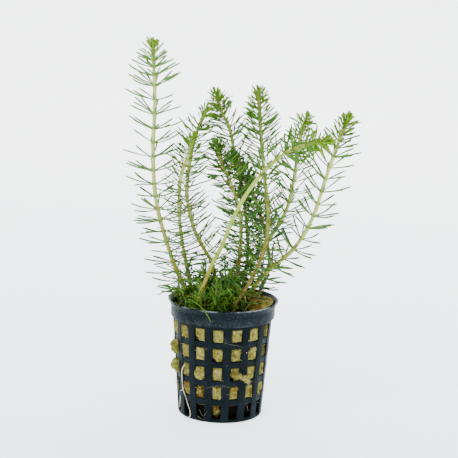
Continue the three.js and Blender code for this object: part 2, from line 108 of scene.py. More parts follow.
# How brown the wool is in some windows, by column from the front one towards +x, and row from below
WINDOW_STAINS = {(-3, 0): 1, (-2, 0): 1, (-1, 0): 1, (0, 0): 0.8, (1, 0): 1, (2, 0): 1, (3, 0): 1,
                 (-2, 1): 1, (-1, 1): 1, (0, 1): 0.1, (1, 1): 0.8, (2, 1): 0.6, (3, 1): 0.1,
                 (-2, 2): 0.4, (-1, 2): 0.1, (0, 2): 0.3, (1, 2): 0.4,
                 (-2, 3): 0.3, (1, 3): 0.3, (-2, 4): 0.4, (-1, 4): 0.1, (1, 4): 0.25}
# How deep in shadow it is in some of them
WINDOW_SHADES = {(-3, 1): 1.4, (3, 3): 0.8, (3, 4): 0.6, (-1, 1): 0.5, (1, 2): 0.35}

# The wool in the windows: the share of them with a bitten corner, and of those with a lower one, the
# smallest bite and how much more the largest is, how rough and how round its edges are, how much it
# leans, and the least and most that it pushes out, as shares of the wall
BITTEN_SHARE = 0.4
BITTEN_BELOW = 0.4
SMALLEST_BITE = 0.4 * MM
BITE_RANGE = 1.6 * MM
WOOL_EDGE_ROUGHNESS = 0.16 * MM
WOOL_EDGE_ROUNDING = 0.55 * MM
PUSH_TILT = 0.9
PUSH_LIMITS = (0.05, 1.2)

# What pushes out of the pot's windows: lumps by azimuth in degrees, height and half sizes outwards,
# along the wall and up, the tuft that hangs over a rib by azimuth in degrees, height and distance
# out from the wall, and the lump that stands on the floor behind the front column, by place. That
# lump's stain and shade come last
LUMPS = [
    (-71.9, 31.9, (4.1, 3.3, 3.6)),
    (-71.9, 23.1, (4.1, 3.3, 3.6)),
    (-28.2, 22.9, (2.1, 3.0, 3.5)),
]
LUMP_STAINS = [0.25, 0.1, 0.3, 1.0]
LUMP_SHADES = [0, 0, 0, 0.5]
LUMP_RAGGEDNESS = 0.22
LUMP_CENTRE_DEPTH = 1.4 * MM
TUFT_ROUTE = [(22.5, 22.3, -3), (23, 22.3, -0.6), (25.2, 22.3, 0.9), (28.5, 21.6, 1.5), (32.5, 20.5, 1.4),
              (35.2, 19.3, 0.9)]
TUFT_RADII = np.array([0.8, 0.8, 0.8, 1.05, 1.15, 0.7]) * MM
TUFT_STATIONS = 40
TUFT_SIDES = 20
FOOT_RADIUS = 16.5 * MM
FOOT_FLARE = 0.26
FOOT_SIDES = 120
FOOT_RINGS = 16
FOOT_LUMP_PLACE = np.array([-1.5, -15.6, 8.0]) * MM
FOOT_LUMP_SIZE = np.array([2.9, 2.9, 6.5]) * MM

# Roots outside the wall, by azimuth in degrees, height and distance out from the wall. The small ones
# and the hairs start with their radius, and the white specks end with theirs
WHITE_ROOT = [
    (-51.8, 25.2, -0.5), (-53.5, 23.6, 0.4), (-55.8, 20.5, 0.55), (-55.6, 17.5, 0.5), (-54.7, 13.3, 0.45),
    (-49.4, 10.0, 0.5), (-45.1, 6.6, 0.5), (-41.8, 3.6, 0.5), (-41.6, 1.7, 0.6), (-45.2, 0.6, 1.2),
    (-50.8, 0.25, 1.9),
]
SMALL_ROOTS = [
    (0.18, [(-54.7, 13.4, 0.3), (-57.5, 12.5, 0.45), (-60, 11.9, 0.6)]),
    (0.20, [(-64.7, 9.2, 0.1), (-64.3, 7.0, 0.4), (-67.3, 3.3, 0.3)]),
    (0.12, [(-6.3, 25.1, -0.3), (-5.2, 24.4, 0.35), (-2.6, 23.6, 0.5), (-1.6, 22.3, 0.25)]),
]
ROOT_HAIRS = [
    (0.06, [(-27.5, 5.8, 0.1), (-24.5, 3.9, 0.3), (-21.9, 3.0, 0.35), (-18.9, 4.2, 0.3), (-17, 5.4, 0.0)]),
    (0.05, [(-30.8, 2.6, 0.2), (-26.3, 1.9, 0.3), (-21.5, 1.5, 0.35), (-18.1, 1.8, 0.3)]),
    (0.055, [(-17.9, 16.4, 0.1), (-12, 17.3, 0.2), (-7.8, 17.8, 0.3), (2.1, 18.1, 0.35), (12.1, 17.3, 0.1)]),
    (0.055, [(2.6, 38.6, 0), (9.5, 37.6, 0.3), (17.8, 37.1, 0.35), (25.4, 35.7, 0.2)]),
    (0.06, [(-0.5, 43.2, 0.1), (2.5, 40.2, 0.3), (7.5, 38.4, 0.25)]),
    (0.06, [(7.5, 13.9, 0.2), (11, 14.1, 0.35), (14.5, 14.2, 0.1)]),
    (0.09, [(38, 7.6, 0.1), (40.5, 5.4, 0.1), (42, 4.6, -0.3)]),
]
SPECKS = [(31.2, 33.1, 0.2), (7.1, 27.6, 0.1), (32.7, 38.7, 0.12), (-18.1, 35.0, 0.1), (40, 29.5, 0.12)]
WHITE_ROOT_STATIONS = 90
WHITE_ROOT_SIDES = 12
ROOT_STATIONS = 24
ROOT_SIDES = 6
ROOT_TAPER = 0.55

STEMS = [name for name in sorted(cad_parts) if name.startswith("stem_")]
SHOOTS = [name for name in sorted(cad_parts) if name.startswith("young_shoot_")]

# How each stem looks: its skin, how thick it is as a share of its solid, its widest leaf in mm, how
# many leaves it has for each one of its solid, how they are spread, as the least chance of one and
# the shares of the stem's length over which they crowd, how much painted shade darkens its darkest
# leaf, the least age of its leaves and of its bud's, and its bud: its number of leaves, its longest
# and widest leaf in mm, how far it opens in degrees, and how far down the stem it reaches in mm
USUAL_LOOK = {"skin": "pale_stem", "thick": 0.95, "leaf": 0.77, "more": 0.7, "crowd": (0.6, 0.6, 1.0),
              "shade": 0.5, "youngest": (0, 0), "bud": (20, 5.2, 0.56, 66, 4.2)}
LOOKS = {
    "stem_tall_left": {"thick": 1.0, "leaf": 0.96, "more": 0.3, "shade": 0.3, "bud": (16, 4.2, 0.6, 34, 3.6)},
    "stem_pale_left": {"leaf": 0.62, "more": 0.45, "bud": (16, 3.6, 0.62, 32, 3.6)},
    "stem_back_left": {"skin": "olive_stem"},
    "stem_back": {"skin": "olive_stem", "bud": (26, 6.4, 0.56, 78, 5.4)},
    "stem_dark_back": {"skin": "brown_stem", "more": 2.0, "crowd": (0.15, 0.35, 0.6), "shade": 1.0,
                       "youngest": (0.35, 0.3)},
    "stem_short_middle": {"skin": "brown_stem", "more": 1.2, "shade": 0.8, "youngest": (0.35, 0.3)},
    "stem_leaning_front": {"skin": "leaning_stem", "thick": 0.77, "leaf": 0.9, "more": 0.5, "shade": 0.15,
                           "bud": (34, 8.4, 0.85, 88, 9.0)},
    "stem_middle_right": {"skin": "brown_stem", "thick": 0.88, "bud": (26, 6.4, 0.56, 76, 5.4)},
    "stem_back_right": {"skin": "olive_stem", "more": 0.5, "bud": (24, 7.4, 0.78, 86, 3.8)},
    "stem_far_right": {"leaf": 0.98, "more": 0.2, "bud": (30, 7.4, 0.76, 64, 5.5)},
}
SHOOT_LOOK = {"skin": "shoot_stem", "thick": 0.6, "leaf": 0.56, "more": 0.2, "youngest": (0.35, 0.2),
              "bud": (7, 2.4, 0.45, 35, 1.5)}
CLOSE_WHORLS = 0.55
DRY_SHARE = 0.01
BUD_TURN = 2.4
LEAF_COLOUR_LENGTH = 60 * MM
STEM_STEP = 0.4 * MM
STEM_SIDES = 12
STEM_SWELL = 0.08
STEM_WAVE = 1.9 * MM
JOINT_WIDTH = 0.55 * MM
JOINT_SWELL = 0.24

# Each skin's colours at the tip, in the middle, low down and at the foot, and at the joints
SKINS = {
    "pale_stem": ((0.19, 0.35, 0.02), (0.56, 0.64, 0.15), (0.32, 0.33, 0.032), (0.24, 0.20, 0.008),
                  (0.28, 0.32, 0.008)),
    "leaning_stem": ((0.18, 0.34, 0.010), (0.35, 0.44, 0.050), (0.36, 0.42, 0.040), (0.33, 0.23, 0.009),
                     (0.24, 0.25, 0.005)),
    "olive_stem": ((0.17, 0.31, 0.02), (0.50, 0.58, 0.105), (0.18, 0.20, 0.016), (0.10, 0.11, 0.009),
                   (0.22, 0.24, 0.008)),
    "brown_stem": ((0.17, 0.30, 0.02), (0.44, 0.50, 0.095), (0.21, 0.15, 0.009), (0.16, 0.105, 0.007),
                   (0.23, 0.15, 0.006)),
    "shoot_stem": ((0.10, 0.20, 0.01), (0.12, 0.16, 0.02), (0.13, 0.14, 0.02), (0.14, 0.12, 0.015),
                   (0.10, 0.12, 0.01)),
}
SKIN_SLOTS = {"brown_stem": "brown_stem", "shoot_stem": "leaf_green"}
USUAL_SLOT = "pale_stem"

# Where along a leaf its place is checked, and how far it has to keep from the lip and the wool
CLEAR_AT = (0.35, 0.6, 0.8, 1.0)
MOUTH_RADIUS = 21.8 * MM
LIP_CLEARANCE = 0.7 * MM
WOOL_CLEARANCE = 0.3 * MM

# The mat: its small shoots' number, where they stand across, towards the back and from the axis and
# each other in mm, their heights, the gaps between their whorls and their leaves' widths in mm. Then
# its grassy leaves' number, how far from the axis and how high they start, their lengths and widths
# in mm, how much painted shade darkens the mat's darkest leaf, how many of its leaves are dry, and
# how far to the right it reaches
MAT_SHOOTS = 46
MAT_ACROSS = (-20, 11)
MAT_BACK = (-20, 18)
MAT_RADIUS = 19.5
MAT_SPACING = 2.3
MAT_HEIGHTS = (6, 15)
MAT_STATIONS = 8
MAT_WHORL_GAPS = (1.6, 3.2)
MAT_LEAF_WIDTHS = (0.42, 0.72)
MAT_STEM_SIDES = 8
MAT_GRASS = 330
GRASS_RADIUS = 18.5 * MM
GRASS_HIGHEST = 5
GRASS_LENGTHS = (6, 14)
GRASS_WIDTHS = (0.45, 0.85)
MAT_SHADE = 0.95
MAT_DRY_SHARE = 0.025
MAT_END = 11.5 * MM
# Leaves that show one by one: root, tip, how far each bows up as a share of its length, and width
LONG_LEAVES = [
    ((-15.5, -17, 56.5), (-4.9, -27.3, 48.7), 0.12, 0.55),
    ((-19, -5, 57), (-29.9, -2, 53.7), 0.10, 0.7),
    ((-19, -7, 55), (-24.8, -13, 56.5), 0.12, 0.7),
    ((-7.2, -12, 61), (-3.2, -19, 54.3), 0.10, 1.2),
    ((-14.1, -14, 55), (-20, -18.2, 50.6), 0.36, 0.42),
]
LONG_LEAF_AGE = 0.5

# The leaves' colours when they have opened, far down a stem, and of the palest ones
LEAF_COLOURS = {
    "leaf_green": ((0.054, 0.176, 0.014), (0.043, 0.144, 0.016), (0.14, 0.29, 0.022)),
    "mat_green": ((0.064, 0.205, 0.003), (0.040, 0.145, 0.002), (0.19, 0.38, 0.008)),
}

# How many fibres stand off the wool in the windows, on its top, on the lumps and on the tuft, and
# their lengths and radii in mm
WINDOW_FIBRES = 1500
TOP_FIBRES = 800
LUMP_FIBRES = 260
TUFT_FIBRES = 240
FIBRE_LENGTHS = (0.5, 1.7)
FIBRE_RADII = (0.035, 0.075)
FIBRE_TAPER = np.array([1, 1, 0.9, 0.75, 0.4])
FIBRE_SIDES = 3

# The camera, as fitted to the lip, rim, windows and base of the pot in the photograph
CAMERA_TARGET = Vector((1.54, 0, 85.1)) * MM
CAMERA_DISTANCE = 700 * MM
CAMERA_ELEVATION = math.radians(11.81)
CAMERA_ROLL = math.radians(1.9)
SENSOR_WIDTH = 36
CAMERA_LENS = 122.67

# The stage's colours in front and behind, which it also glows with as painted light, and the lamps by place,
# aim, size and power in watts
STAGE_FRONT = (0.66, 0.75, 0.79)
STAGE_BACK = (0.90, 0.91, 0.92)
STAGE_GLOW = 2.6
LAMPS = {
    "key": ((-0.5, -0.7, 1.1), (0, 0, 0.08), (0.9, 0.9), 15),
    "fill": ((0.9, -0.6, 0.6), (0, 0, 0.08), (0.8, 0.8), 4),
    "back": ((0.2, 0.9, 1.0), (0, 0.6, 0.2), (1.6, 0.6), 8),
}
SKY = (0.93, 0.97, 1.0, 1)
SKY_STRENGTH = 0.9


# Meshes

def placed(name, data):
    """An object of the scene that shows the data."""
    thing = bpy.data.objects.new(name, data)
    bpy.context.scene.collection.objects.link(thing)
    return thing


def make_piece(name, points, faces, material, slot=None, smooth=True, **attributes):
    """A mesh object from points and faces, with one number per point for each attribute."""
    mesh = bpy.data.meshes.new(name)
    mesh.from_pydata(np.asarray(points).tolist(), [], faces)
    for key, values in attributes.items():
        layer = mesh.attributes.new(key, "FLOAT", "POINT")
        layer.data.foreach_set("value", np.asarray(values, np.float32))
    mesh.polygons.foreach_set("use_smooth", [smooth] * len(mesh.polygons))
    mesh.materials.append(material)
    mesh.validate()
    piece = placed(name, mesh)
    if slot:
        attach(piece, "root")
    return piece


def ring_faces(rings, sides):
    """Four-cornered faces between rings of points."""
    i, j = np.meshgrid(np.arange(rings - 1), np.arange(sides), indexing="ij")
    low, high, after = i * sides, (i + 1) * sides, (j + 1) % sides
    return np.stack([low + j, low + after, high + after, high + j], -1).reshape(-1, 4)


def closed_faces(rings, sides):
    """The faces of a closed skin over rings of points."""
    last = (rings - 1) * sides
    caps = [list(range(sides - 1, -1, -1)), list(range(last, last + sides))]
    return ring_faces(rings, sides).tolist() + caps


def repeated(faces, size, count):
    """The same faces for each of count pieces of size points."""
    return [[i + k * size for i in face] for k in range(count) for face in faces]


def ease(x, low, high):
    """0 below low, 1 above high, and smooth between."""
    t = np.clip((x - low) / (high - low), 0, 1)
    return t * t * (3 - 2 * t)


def unit(v):
    return v / np.maximum(np.linalg.norm(v, axis=-1, keepdims=True), 1e-12)


def from_axis(points):
    """How far points are from the pot's axis."""
    return np.hypot(points[..., 0], points[..., 1])


def polar(azimuth, radius, height):
    """Points from their azimuth, which is 0 at the front and grows towards +x, radius and height."""
    return np.stack(np.broadcast_arrays(radius * np.sin(azimuth), -radius * np.cos(azimuth), height), -1)


def rough(points, scale, seed, octaves=3):
    """Smooth noise of about -1 to 1 at each point, with bumps about scale across."""
    shift = Vector((seed * 7.31, seed * 3.17, seed * 5.73))
    return np.array([noise.fractal(Vector(p) / scale + shift, 1.0, 2.0, octaves) for p in np.asarray(points)])


# The parts of a stem, read from its solid

def joined_corners(node):
    """The corners of a node's mesh, with those at one place joined, and its triangles."""
    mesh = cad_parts[node].data
    points = np.zeros(len(mesh.vertices) * 3)
    mesh.vertices.foreach_get("co", points)
    points = points.reshape(-1, 3)
    mesh.calc_loop_triangles()
    triangles = np.zeros(len(mesh.loop_triangles) * 3, int)
    mesh.loop_triangles.foreach_get("vertices", triangles)
    grid = np.round(points / (0.005 * MM)).astype(int)
    _, first, place = np.unique(grid, axis=0, return_index=True, return_inverse=True)
    return points[first], place.reshape(-1)[triangles].reshape(-1, 3)


def read_stem(node):
    """The stem's centreline, its thickness there, and each leaf's root, tip and place along it. In
    the solid only a leaf's tip has three neighbours, and only the middle of an end's face has four."""
    points, triangles = joined_corners(node)
    near = [set() for _ in points]
    for a, b, c in triangles:
        near[a] |= {b, c}
        near[b] |= {a, c}
        near[c] |= {a, b}
    tips = [i for i, others in enumerate(near) if len(others) == 3]
    foot = min((i for i, others in enumerate(near) if len(others) == 4), key=lambda i: points[i][2])
    seen = {foot, *tips}
    rings = [[foot]]
    level_of = {foot: 0}
    while ring := sorted({other for i in rings[-1] for other in near[i]} - seen):
        seen |= set(ring)
        level_of.update({i: len(rings) for i in ring})
        rings.append(ring)
    centres = np.array([points[ring].mean(0) for ring in rings])[1:]
    away = [np.linalg.norm(points[ring] - middle, axis=1) for ring, middle in zip(rings[1:], centres)]
    along = distances(centres)
    return SimpleNamespace(
        name=node, centres=centres, along=along, length=along[-1], tips=points[tips],
        radii=np.array([spread.mean() for spread in away]),
        roots=np.array([points[sorted(near[tip])].mean(0) for tip in tips]),
        places=np.array([along[max(level_of[i] for i in near[tip]) - 1] for tip in tips]),
        **{**USUAL_LOOK, **LOOKS.get(node, SHOOT_LOOK)})


def distances(points):
    """How far along a line each of its points lies."""
    return np.concatenate([[0], np.cumsum(np.linalg.norm(np.diff(points, axis=0), axis=1))])


def curve_through(points, along, at):
    """Points on a smooth curve through the given ones, which lie at the distances along."""
    slopes = np.gradient(points, along, axis=0)
    i = np.clip(np.searchsorted(along, at, side="right") - 1, 0, len(along) - 2)
    span = (along[i + 1] - along[i])[:, None]
    t = ((at - along[i]) / (along[i + 1] - along[i]))[:, None]
    return ((2 * t**3 - 3 * t**2 + 1) * points[i] + (t**3 - 2 * t**2 + t) * span * slopes[i]
            + (3 * t**2 - 2 * t**3) * points[i + 1] + (t**3 - t**2) * span * slopes[i + 1])


def stem_direction(stem, at):
    step = 0.5 * MM
    ahead = curve_through(stem.centres, stem.along, np.minimum(at + step, stem.length))
    behind = curve_through(stem.centres, stem.along, np.maximum(at - step, 0))
    return unit(ahead - behind)


# Materials

class Nodes:
    """Short ways to add shader nodes to one material."""

    def __init__(self, name):
        self.material = bpy.data.materials.new(name)
        self.material.use_nodes = True
        self.tree = self.material.node_tree
        self.shader = self.tree.nodes["Principled BSDF"]

    def add(self, kind, inputs=None, **settings):
        node = self.tree.nodes.new(kind)
        for key, value in settings.items():
            setattr(node, key, value)
        for key, value in (inputs or {}).items():
            self.put(value, node.inputs[key])
        return node

    def put(self, value, socket):
        if isinstance(value, bpy.types.NodeSocket):
            self.tree.links.new(value, socket)
        else:
            socket.default_value = value

    def noise(self, scale, detail=4, roughness=0.55, stretch=(1, 1, 1), distortion=0.0):
        """Noise with features about 1 / scale metres across."""
        place = self.add("ShaderNodeTexCoord").outputs["Object"]
        mapping = self.add("ShaderNodeMapping", {"Vector": place, "Scale": stretch})
        inputs = {"Vector": mapping.outputs[0], "Scale": scale, "Detail": detail, "Roughness": roughness,
                  "Distortion": distortion}
        return self.add("ShaderNodeTexNoise", inputs).outputs["Fac"]

    def attribute(self, name):
        return self.add("ShaderNodeAttribute", attribute_name=name).outputs["Fac"]

    def ramp(self, value, *stops):
        """Colours or greys at the given places of value."""
        node = self.add("ShaderNodeValToRGB", {"Fac": value})
        elements = node.color_ramp.elements
        while len(elements) < len(stops):
            elements.new(1)
        for element, (place, colour) in zip(elements, stops):
            element.position = place
            element.color = (*colour, 1) if isinstance(colour, tuple) else (colour, colour, colour, 1)
        return node.outputs["Color"]

    def mix(self, share, a, b, blend="MIX"):
        node = self.add("ShaderNodeMix", data_type="RGBA", blend_type=blend)
        for value, socket in ((share, node.inputs[0]), (a, node.inputs[6]), (b, node.inputs[7])):
            self.put((*value, 1) if isinstance(value, tuple) else value, socket)
        return node.outputs[2]

    def maths(self, operation, a, b=0.0):
        node = self.add("ShaderNodeMath", operation=operation)
        self.put(a, node.inputs[0])
        self.put(b, node.inputs[1])
        return node.outputs[0]

    def bump(self, height, distance, strength=1.0):
        node = self.add("ShaderNodeBump", {"Height": height, "Distance": distance, "Strength": strength})
        self.put(node.outputs[0], self.shader.inputs["Normal"])

    def finish(self, colour, roughness, **uniform):
        self.put((*colour, 1) if isinstance(colour, tuple) else colour, self.shader.inputs["Base Color"])
        self.put(roughness, self.shader.inputs["Roughness"])
        for key, value in uniform.items():
            self.shader.inputs[key.replace("_", " ")].default_value = value
        return self.material


def pot_material():
    """Blue-black moulded plastic, scuffed grey along the lip, where the pale wear also paints the lip's
    highlight, dusted with fine specks, and painted near-black inside as painted shade.
    """
    n = Nodes("pot_plastic")
    cloud = n.noise(90, 5)
    base = n.ramp(cloud, (0.3, (0.002, 0.004, 0.005)), (0.7, (0.0065, 0.011, 0.0135)))
    haze = n.ramp(n.noise(420, 6, 0.7, (1, 1, 0.35)), (0.55, 0.0), (0.85, 0.25))
    base = n.mix(haze, base, (0.010, 0.017, 0.021))
    scratches = n.ramp(n.noise(1100, 6, 0.75, (2.2, 2.2, 0.8), 0.8), (0.67, 0.0), (0.72, 0.6))
    dust = n.ramp(n.noise(1900, 3, 0.6), (0.62, 0.0), (0.70, 0.7))
    marks = n.maths("MAXIMUM", scratches, dust)
    base = n.mix(n.maths("MULTIPLY", n.attribute("band"), marks), base, (0.11, 0.145, 0.16))
    # Pale wear along the lip's edge, and faintly along the rim's lower edge, that also paints the lip's
    # highlight
    wear_and_highlight = n.maths("MULTIPLY", n.ramp(n.noise(130, 4, 0.6), (0.44, 0.0), (0.60, 1.0)),
                   n.ramp(n.noise(1500, 6, 0.8), (0.42, 0.2), (0.58, 1.0)))
    base = n.mix(n.maths("MULTIPLY", n.attribute("edge"), wear_and_highlight), base, (0.34, 0.38, 0.40))
    specks = n.ramp(n.noise(2300, 2, 0.5), (0.745, 0.0), (0.785, 0.8))
    base = n.mix(specks, base, (0.22, 0.25, 0.25))
    # Painted shade: the inside of the pot is painted near-black, and made rougher
    base = n.mix(n.attribute("inner"), base, (0.0012, 0.0014, 0.0012))
    roughness = n.ramp(n.noise(500, 4), (0.3, 0.30), (0.7, 0.5))
    roughness = n.mix(n.attribute("inner"), roughness, (0.95, 0.95, 0.95))
    n.bump(n.noise(1500, 5, 0.7), 0.00006, 0.5)
    return n.finish(base, roughness, Specular_IOR_Level=0.03)


def wool_material():
    """Olive-tan mineral fibre, with painted shade in its creases and hollows, painted highlight on its
    crests, and brown stains towards the bottom.
    """
    n = Nodes("rock_wool")
    fibres = n.noise(1000, 8, 0.8, (1, 1, 0.8), 1.4)
    base = n.ramp(fibres, (0.32, (0.13, 0.10, 0.014)), (0.47, (0.28, 0.24, 0.055)),
                  (0.56, (0.38, 0.34, 0.100)), (0.7, (0.56, 0.52, 0.20)))
    patches = n.ramp(n.noise(190, 4), (0.40, 0.0), (0.62, 1.0))
    base = n.mix(patches, base, n.mix(0.8, base, (0.62, 0.58, 0.27), "MULTIPLY"))
    # Painted shade in the creases and painted highlight on the crests
    painted_crease_shade = n.ramp(n.noise(560, 4, 0.6, (1, 1, 1), 0.8), (0.36, 0.95), (0.52, 0.0))
    base = n.mix(painted_crease_shade, base, n.mix(0.9, base, (0.34, 0.29, 0.12), "MULTIPLY"))
    painted_crest_highlight = n.ramp(n.noise(640, 3, 0.6, (1, 1, 1), 0.6), (0.56, 0.0), (0.68, 0.6))
    base = n.mix(painted_crest_highlight, base, (0.56, 0.53, 0.19))
    greenish = n.ramp(n.noise(90, 3), (0.52, 0.0), (0.66, 0.45))
    base = n.mix(greenish, base, (0.15, 0.17, 0.03))
    stain = n.maths("MULTIPLY", n.attribute("stain"), n.ramp(n.noise(230, 5), (0.36, 0.3), (0.54, 1.0)))
    base = n.mix(stain, base, n.ramp(fibres, (0.35, (0.05, 0.026, 0.003)), (0.65, (0.22, 0.13, 0.018))))
    # Painted shade: near-black in the wool's hollows, behind the ribs, under the mat, at its foot and low
    # down
    base = n.mix(n.attribute("hollow"), base, (0.0035, 0.003, 0.0015))
    n.bump(n.noise(1500, 8, 0.85, (1, 1, 0.8), 1.2), 0.0005, 1.0)
    return n.finish(base, n.ramp(fibres, (0.3, 0.85), (0.7, 0.97)), Specular_IOR_Level=0.03)


def fibre_material():
    n = Nodes("wool_fibre")
    base = n.ramp(n.attribute("luck"), (0.0, (0.12, 0.08, 0.02)), (0.5, (0.36, 0.32, 0.09)),
                  (1.0, (0.56, 0.52, 0.22)))
    base = n.mix(n.ramp(n.noise(300, 3), (0.4, 0.0), (0.7, 0.6)), base, (0.30, 0.26, 0.08))
    n.bump(n.noise(3000, 2), 0.00002, 0.5)
    return n.finish(base, n.ramp(n.noise(700, 2), (0.3, 0.75), (0.7, 0.9)), Specular_IOR_Level=0.2)


def leaf_material(name, opened, old, palest):
    """Green leaves: bright at a shoot's tip and darker with age, some paler and some darker by luck,
    pale along the stalk and the rib, and painted nearly black, as painted shade, low among others
    near the wool and on some leaves at random."""
    n = Nodes(name)
    age = n.ramp(n.attribute("age"), (0.0, (0.27, 0.47, 0.001)), (0.05, (0.22, 0.42, 0.001)),
                 (0.14, (0.11, 0.28, 0.004)), (0.4, opened), (1.0, old))
    luck = n.attribute("luck")
    base = n.mix(n.ramp(luck, (0.4, 0.0), (0.8, 0.5)), age, palest)
    base = n.mix(n.ramp(luck, (0.0, 0.75), (0.2, 0.0)), base, (0.014, 0.062, 0.005))
    stalk = n.ramp(n.attribute("share"), (0.0, 0.9), (0.25, 0.3), (0.4, 0.0))
    base = n.mix(stalk, base, (0.16, 0.26, 0.02))
    rib = n.ramp(n.attribute("across"), (0.0, 0.3), (0.3, 0.0))
    base = n.mix(rib, base, (0.11, 0.22, 0.04))
    base = n.mix(n.ramp(n.noise(900, 4), (0.4, 0.0), (0.75, 0.35)), base, (0.05, 0.12, 0.006))
    base = n.mix(n.maths("MULTIPLY", n.attribute("dry"), 0.85), base, (0.25, 0.21, 0.045))
    # Painted shade: nearly black low among the leaves near the wool, and on some leaves at random
    base = n.mix(n.maths("MULTIPLY", n.attribute("deep"), 0.93), base, (0.004, 0.017, 0.001))
    n.bump(n.noise(2600, 3), 0.00004, 0.5)
    roughness = n.ramp(n.noise(700, 3), (0.3, 0.38), (0.7, 0.55))
    return n.finish(base, roughness, Subsurface_Weight=0.1, Subsurface_Scale=0.0006, Specular_IOR_Level=0.25)


def stem_material(name, tip, middle, low, foot, joint):
    """A stem's skin, from its green tip to its foot, with a stronger colour at each joint."""
    n = Nodes(name)
    base = n.ramp(n.attribute("age"), (0.0, tip), (0.12, middle), (0.42, middle), (0.70, low), (0.90, foot))
    base = n.mix(n.ramp(n.noise(260, 4, 0.6), (0.45, 0.0), (0.7, 0.5)), base, n.mix(0.8, base, low))
    base = n.mix(n.ramp(n.noise(150, 3), (0.60, 0.0), (0.68, 0.4)), base, (0.40, 0.27, 0.09))
    base = n.mix(n.attribute("joint"), base, joint)
    streaks = n.ramp(n.noise(1300, 5, 0.6, (1, 1, 0.12)), (0.35, 0.0), (0.75, 0.4))
    base = n.mix(streaks, base, n.mix(0.7, base, joint, "MULTIPLY"))
    n.bump(n.noise(1800, 4, 0.6, (1, 1, 0.1)), 0.00005, 0.7)
    roughness = n.ramp(n.noise(600, 3), (0.3, 0.35), (0.7, 0.55))
    return n.finish(base, roughness, Subsurface_Weight=0.2, Subsurface_Scale=0.001, Specular_IOR_Level=0.35)


def root_material():
    n = Nodes("root_white")
    base = n.ramp(n.noise(500, 5, 0.6), (0.35, (0.48, 0.43, 0.29)), (0.6, (0.72, 0.69, 0.58)))
    base = n.mix(n.ramp(n.noise(140, 3), (0.52, 0.0), (0.7, 0.6)), base, (0.36, 0.28, 0.13))
    n.bump(n.noise(2000, 3), 0.00003, 0.6)
    return n.finish(base, 0.5, Subsurface_Weight=0.2, Subsurface_Scale=0.0008)


def hair_material():
    n = Nodes("root_hair")
    base = n.ramp(n.noise(300, 4), (0.35, (0.08, 0.06, 0.03)), (0.65, (0.27, 0.25, 0.18)))
    n.bump(n.noise(3000, 2), 0.00002, 0.5)
    return n.finish(base, n.ramp(n.noise(900, 2), (0.3, 0.5), (0.7, 0.7)), Specular_IOR_Level=0.3)


def stage_material():
    """Pale paper that glows as painted light, as if lit from behind, a little darker and bluer towards the
    front.
    """
    n = Nodes("stage_paper")
    place = n.add("ShaderNodeSeparateXYZ", {"Vector": n.add("ShaderNodeTexCoord").outputs["Object"]})
    depth = n.maths("MULTIPLY", place.outputs["Y"], 1.2)
    depth = n.maths("ADD", depth, n.maths("MULTIPLY", n.noise(2.5, 2), 0.12))
    tone = n.ramp(depth, (0.0, STAGE_FRONT), (0.85, STAGE_BACK))
    # The paper's glow is painted light, brighter behind than in front
    n.put(tone, n.shader.inputs["Emission Color"])
    return n.finish(tone, 0.9, Specular_IOR_Level=0.1, Emission_Strength=STAGE_GLOW)


# Net pot

def wall_radius(height):
    return WALL_FOOT_RADIUS + (WALL_TOP_RADIUS - WALL_FOOT_RADIUS) * height / RIM_BOTTOM


def window_half(radius):
    """Half a window's width at a radius, along the wall."""
    return PITCH * radius / 2 - RIB_HALF


def station_offsets(radius):
    """Offsets along the wall from a window's middle: across the window, closer together at its
    edges, and then across the rib beside it."""
    half = window_half(radius)
    rib = PITCH * radius / 2 + RIB_STATIONS * RIB_HALF
    return np.concatenate([EDGE_STATIONS - half, half * WINDOW_STATIONS, half - EDGE_STATIONS[::-1], rib])


def ring_heights(low, high):
    """Heights across a solid ring of the wall, closer together at its rounded edges."""
    steps = np.array([0, 0.08, 0.28]) * MM
    return [*(low + steps), (low + high) / 2, *(high - steps[::-1])]


def pot_profile():
    """The outside, the lip and the inside as (radius, height) points, and for each row of windows
    and the floor's slots the point below them of the outside and of the inside."""
    sills = [FIRST_WINDOW + row * ROW_PITCH for row in range(ROWS)]
    wall, windows = [FIRST_WINDOW], []
    for sill, above in zip(sills, [*sills[1:], RIM_BOTTOM]):
        windows.append(len(wall) - 1)
        wall += ring_heights(sill + WINDOW_HEIGHT, above)
    edge = np.array([wall_radius(FOOT_EDGE) - BASE_RADIUS, FOOT_EDGE])
    turns = np.linspace(0, math.pi / 2, 5)
    foot = [BASE_RADIUS, 0] + edge * np.stack([np.sin(turns), 1 - np.cos(turns)], -1)
    floor = [(SLOT_INNER, 0), (SLOT_OUTER, 0), *foot]
    inner_floor = [(SLOT_INNER, FLOOR), (SLOT_OUTER, FLOOR), (BASE_RADIUS - WALL / 2, FLOOR)]

    def flare(radius, low, high, shares):
        return [(radius + (LIP_RADIUS - RIM_RADIUS) * t**FLARE_CURVE, low + (high - low) * t) for t in shares]

    rim = [(RIM_RADIUS - RIM_ROUNDING, RIM_BOTTOM), (RIM_RADIUS, RIM_BOTTOM + RIM_ROUNDING)]
    rim += flare(RIM_RADIUS, RIM_TOP - 1 * MM, POT_HEIGHT - 0.45 * MM, np.linspace(0, 1, 6))
    inner_radius = RIM_RADIUS - WALL
    inner_rim = [(inner_radius, RIM_BOTTOM + WALL), (inner_radius, RIM_TOP - 0.6 * MM)]
    inner_rim += flare(inner_radius, RIM_TOP, POT_HEIGHT - 0.3 * MM, (0.3, 0.6, 0.9))
    outside = floor + [(wall_radius(z), z) for z in wall] + rim
    inside = inner_floor + [(wall_radius(z) - WALL, z) for z in wall] + inner_rim
    lip = [(LIP_RADIUS, POT_HEIGHT - 0.2 * MM), (LIP_RADIUS - LIP_ROUNDING, POT_HEIGHT),
           (LIP_RADIUS - WALL + LIP_ROUNDING, POT_HEIGHT)]
    openings = [(i + len(floor), i + len(inner_floor)) for i in windows]
    return outside, lip, inside, [*openings, (0, 0)]


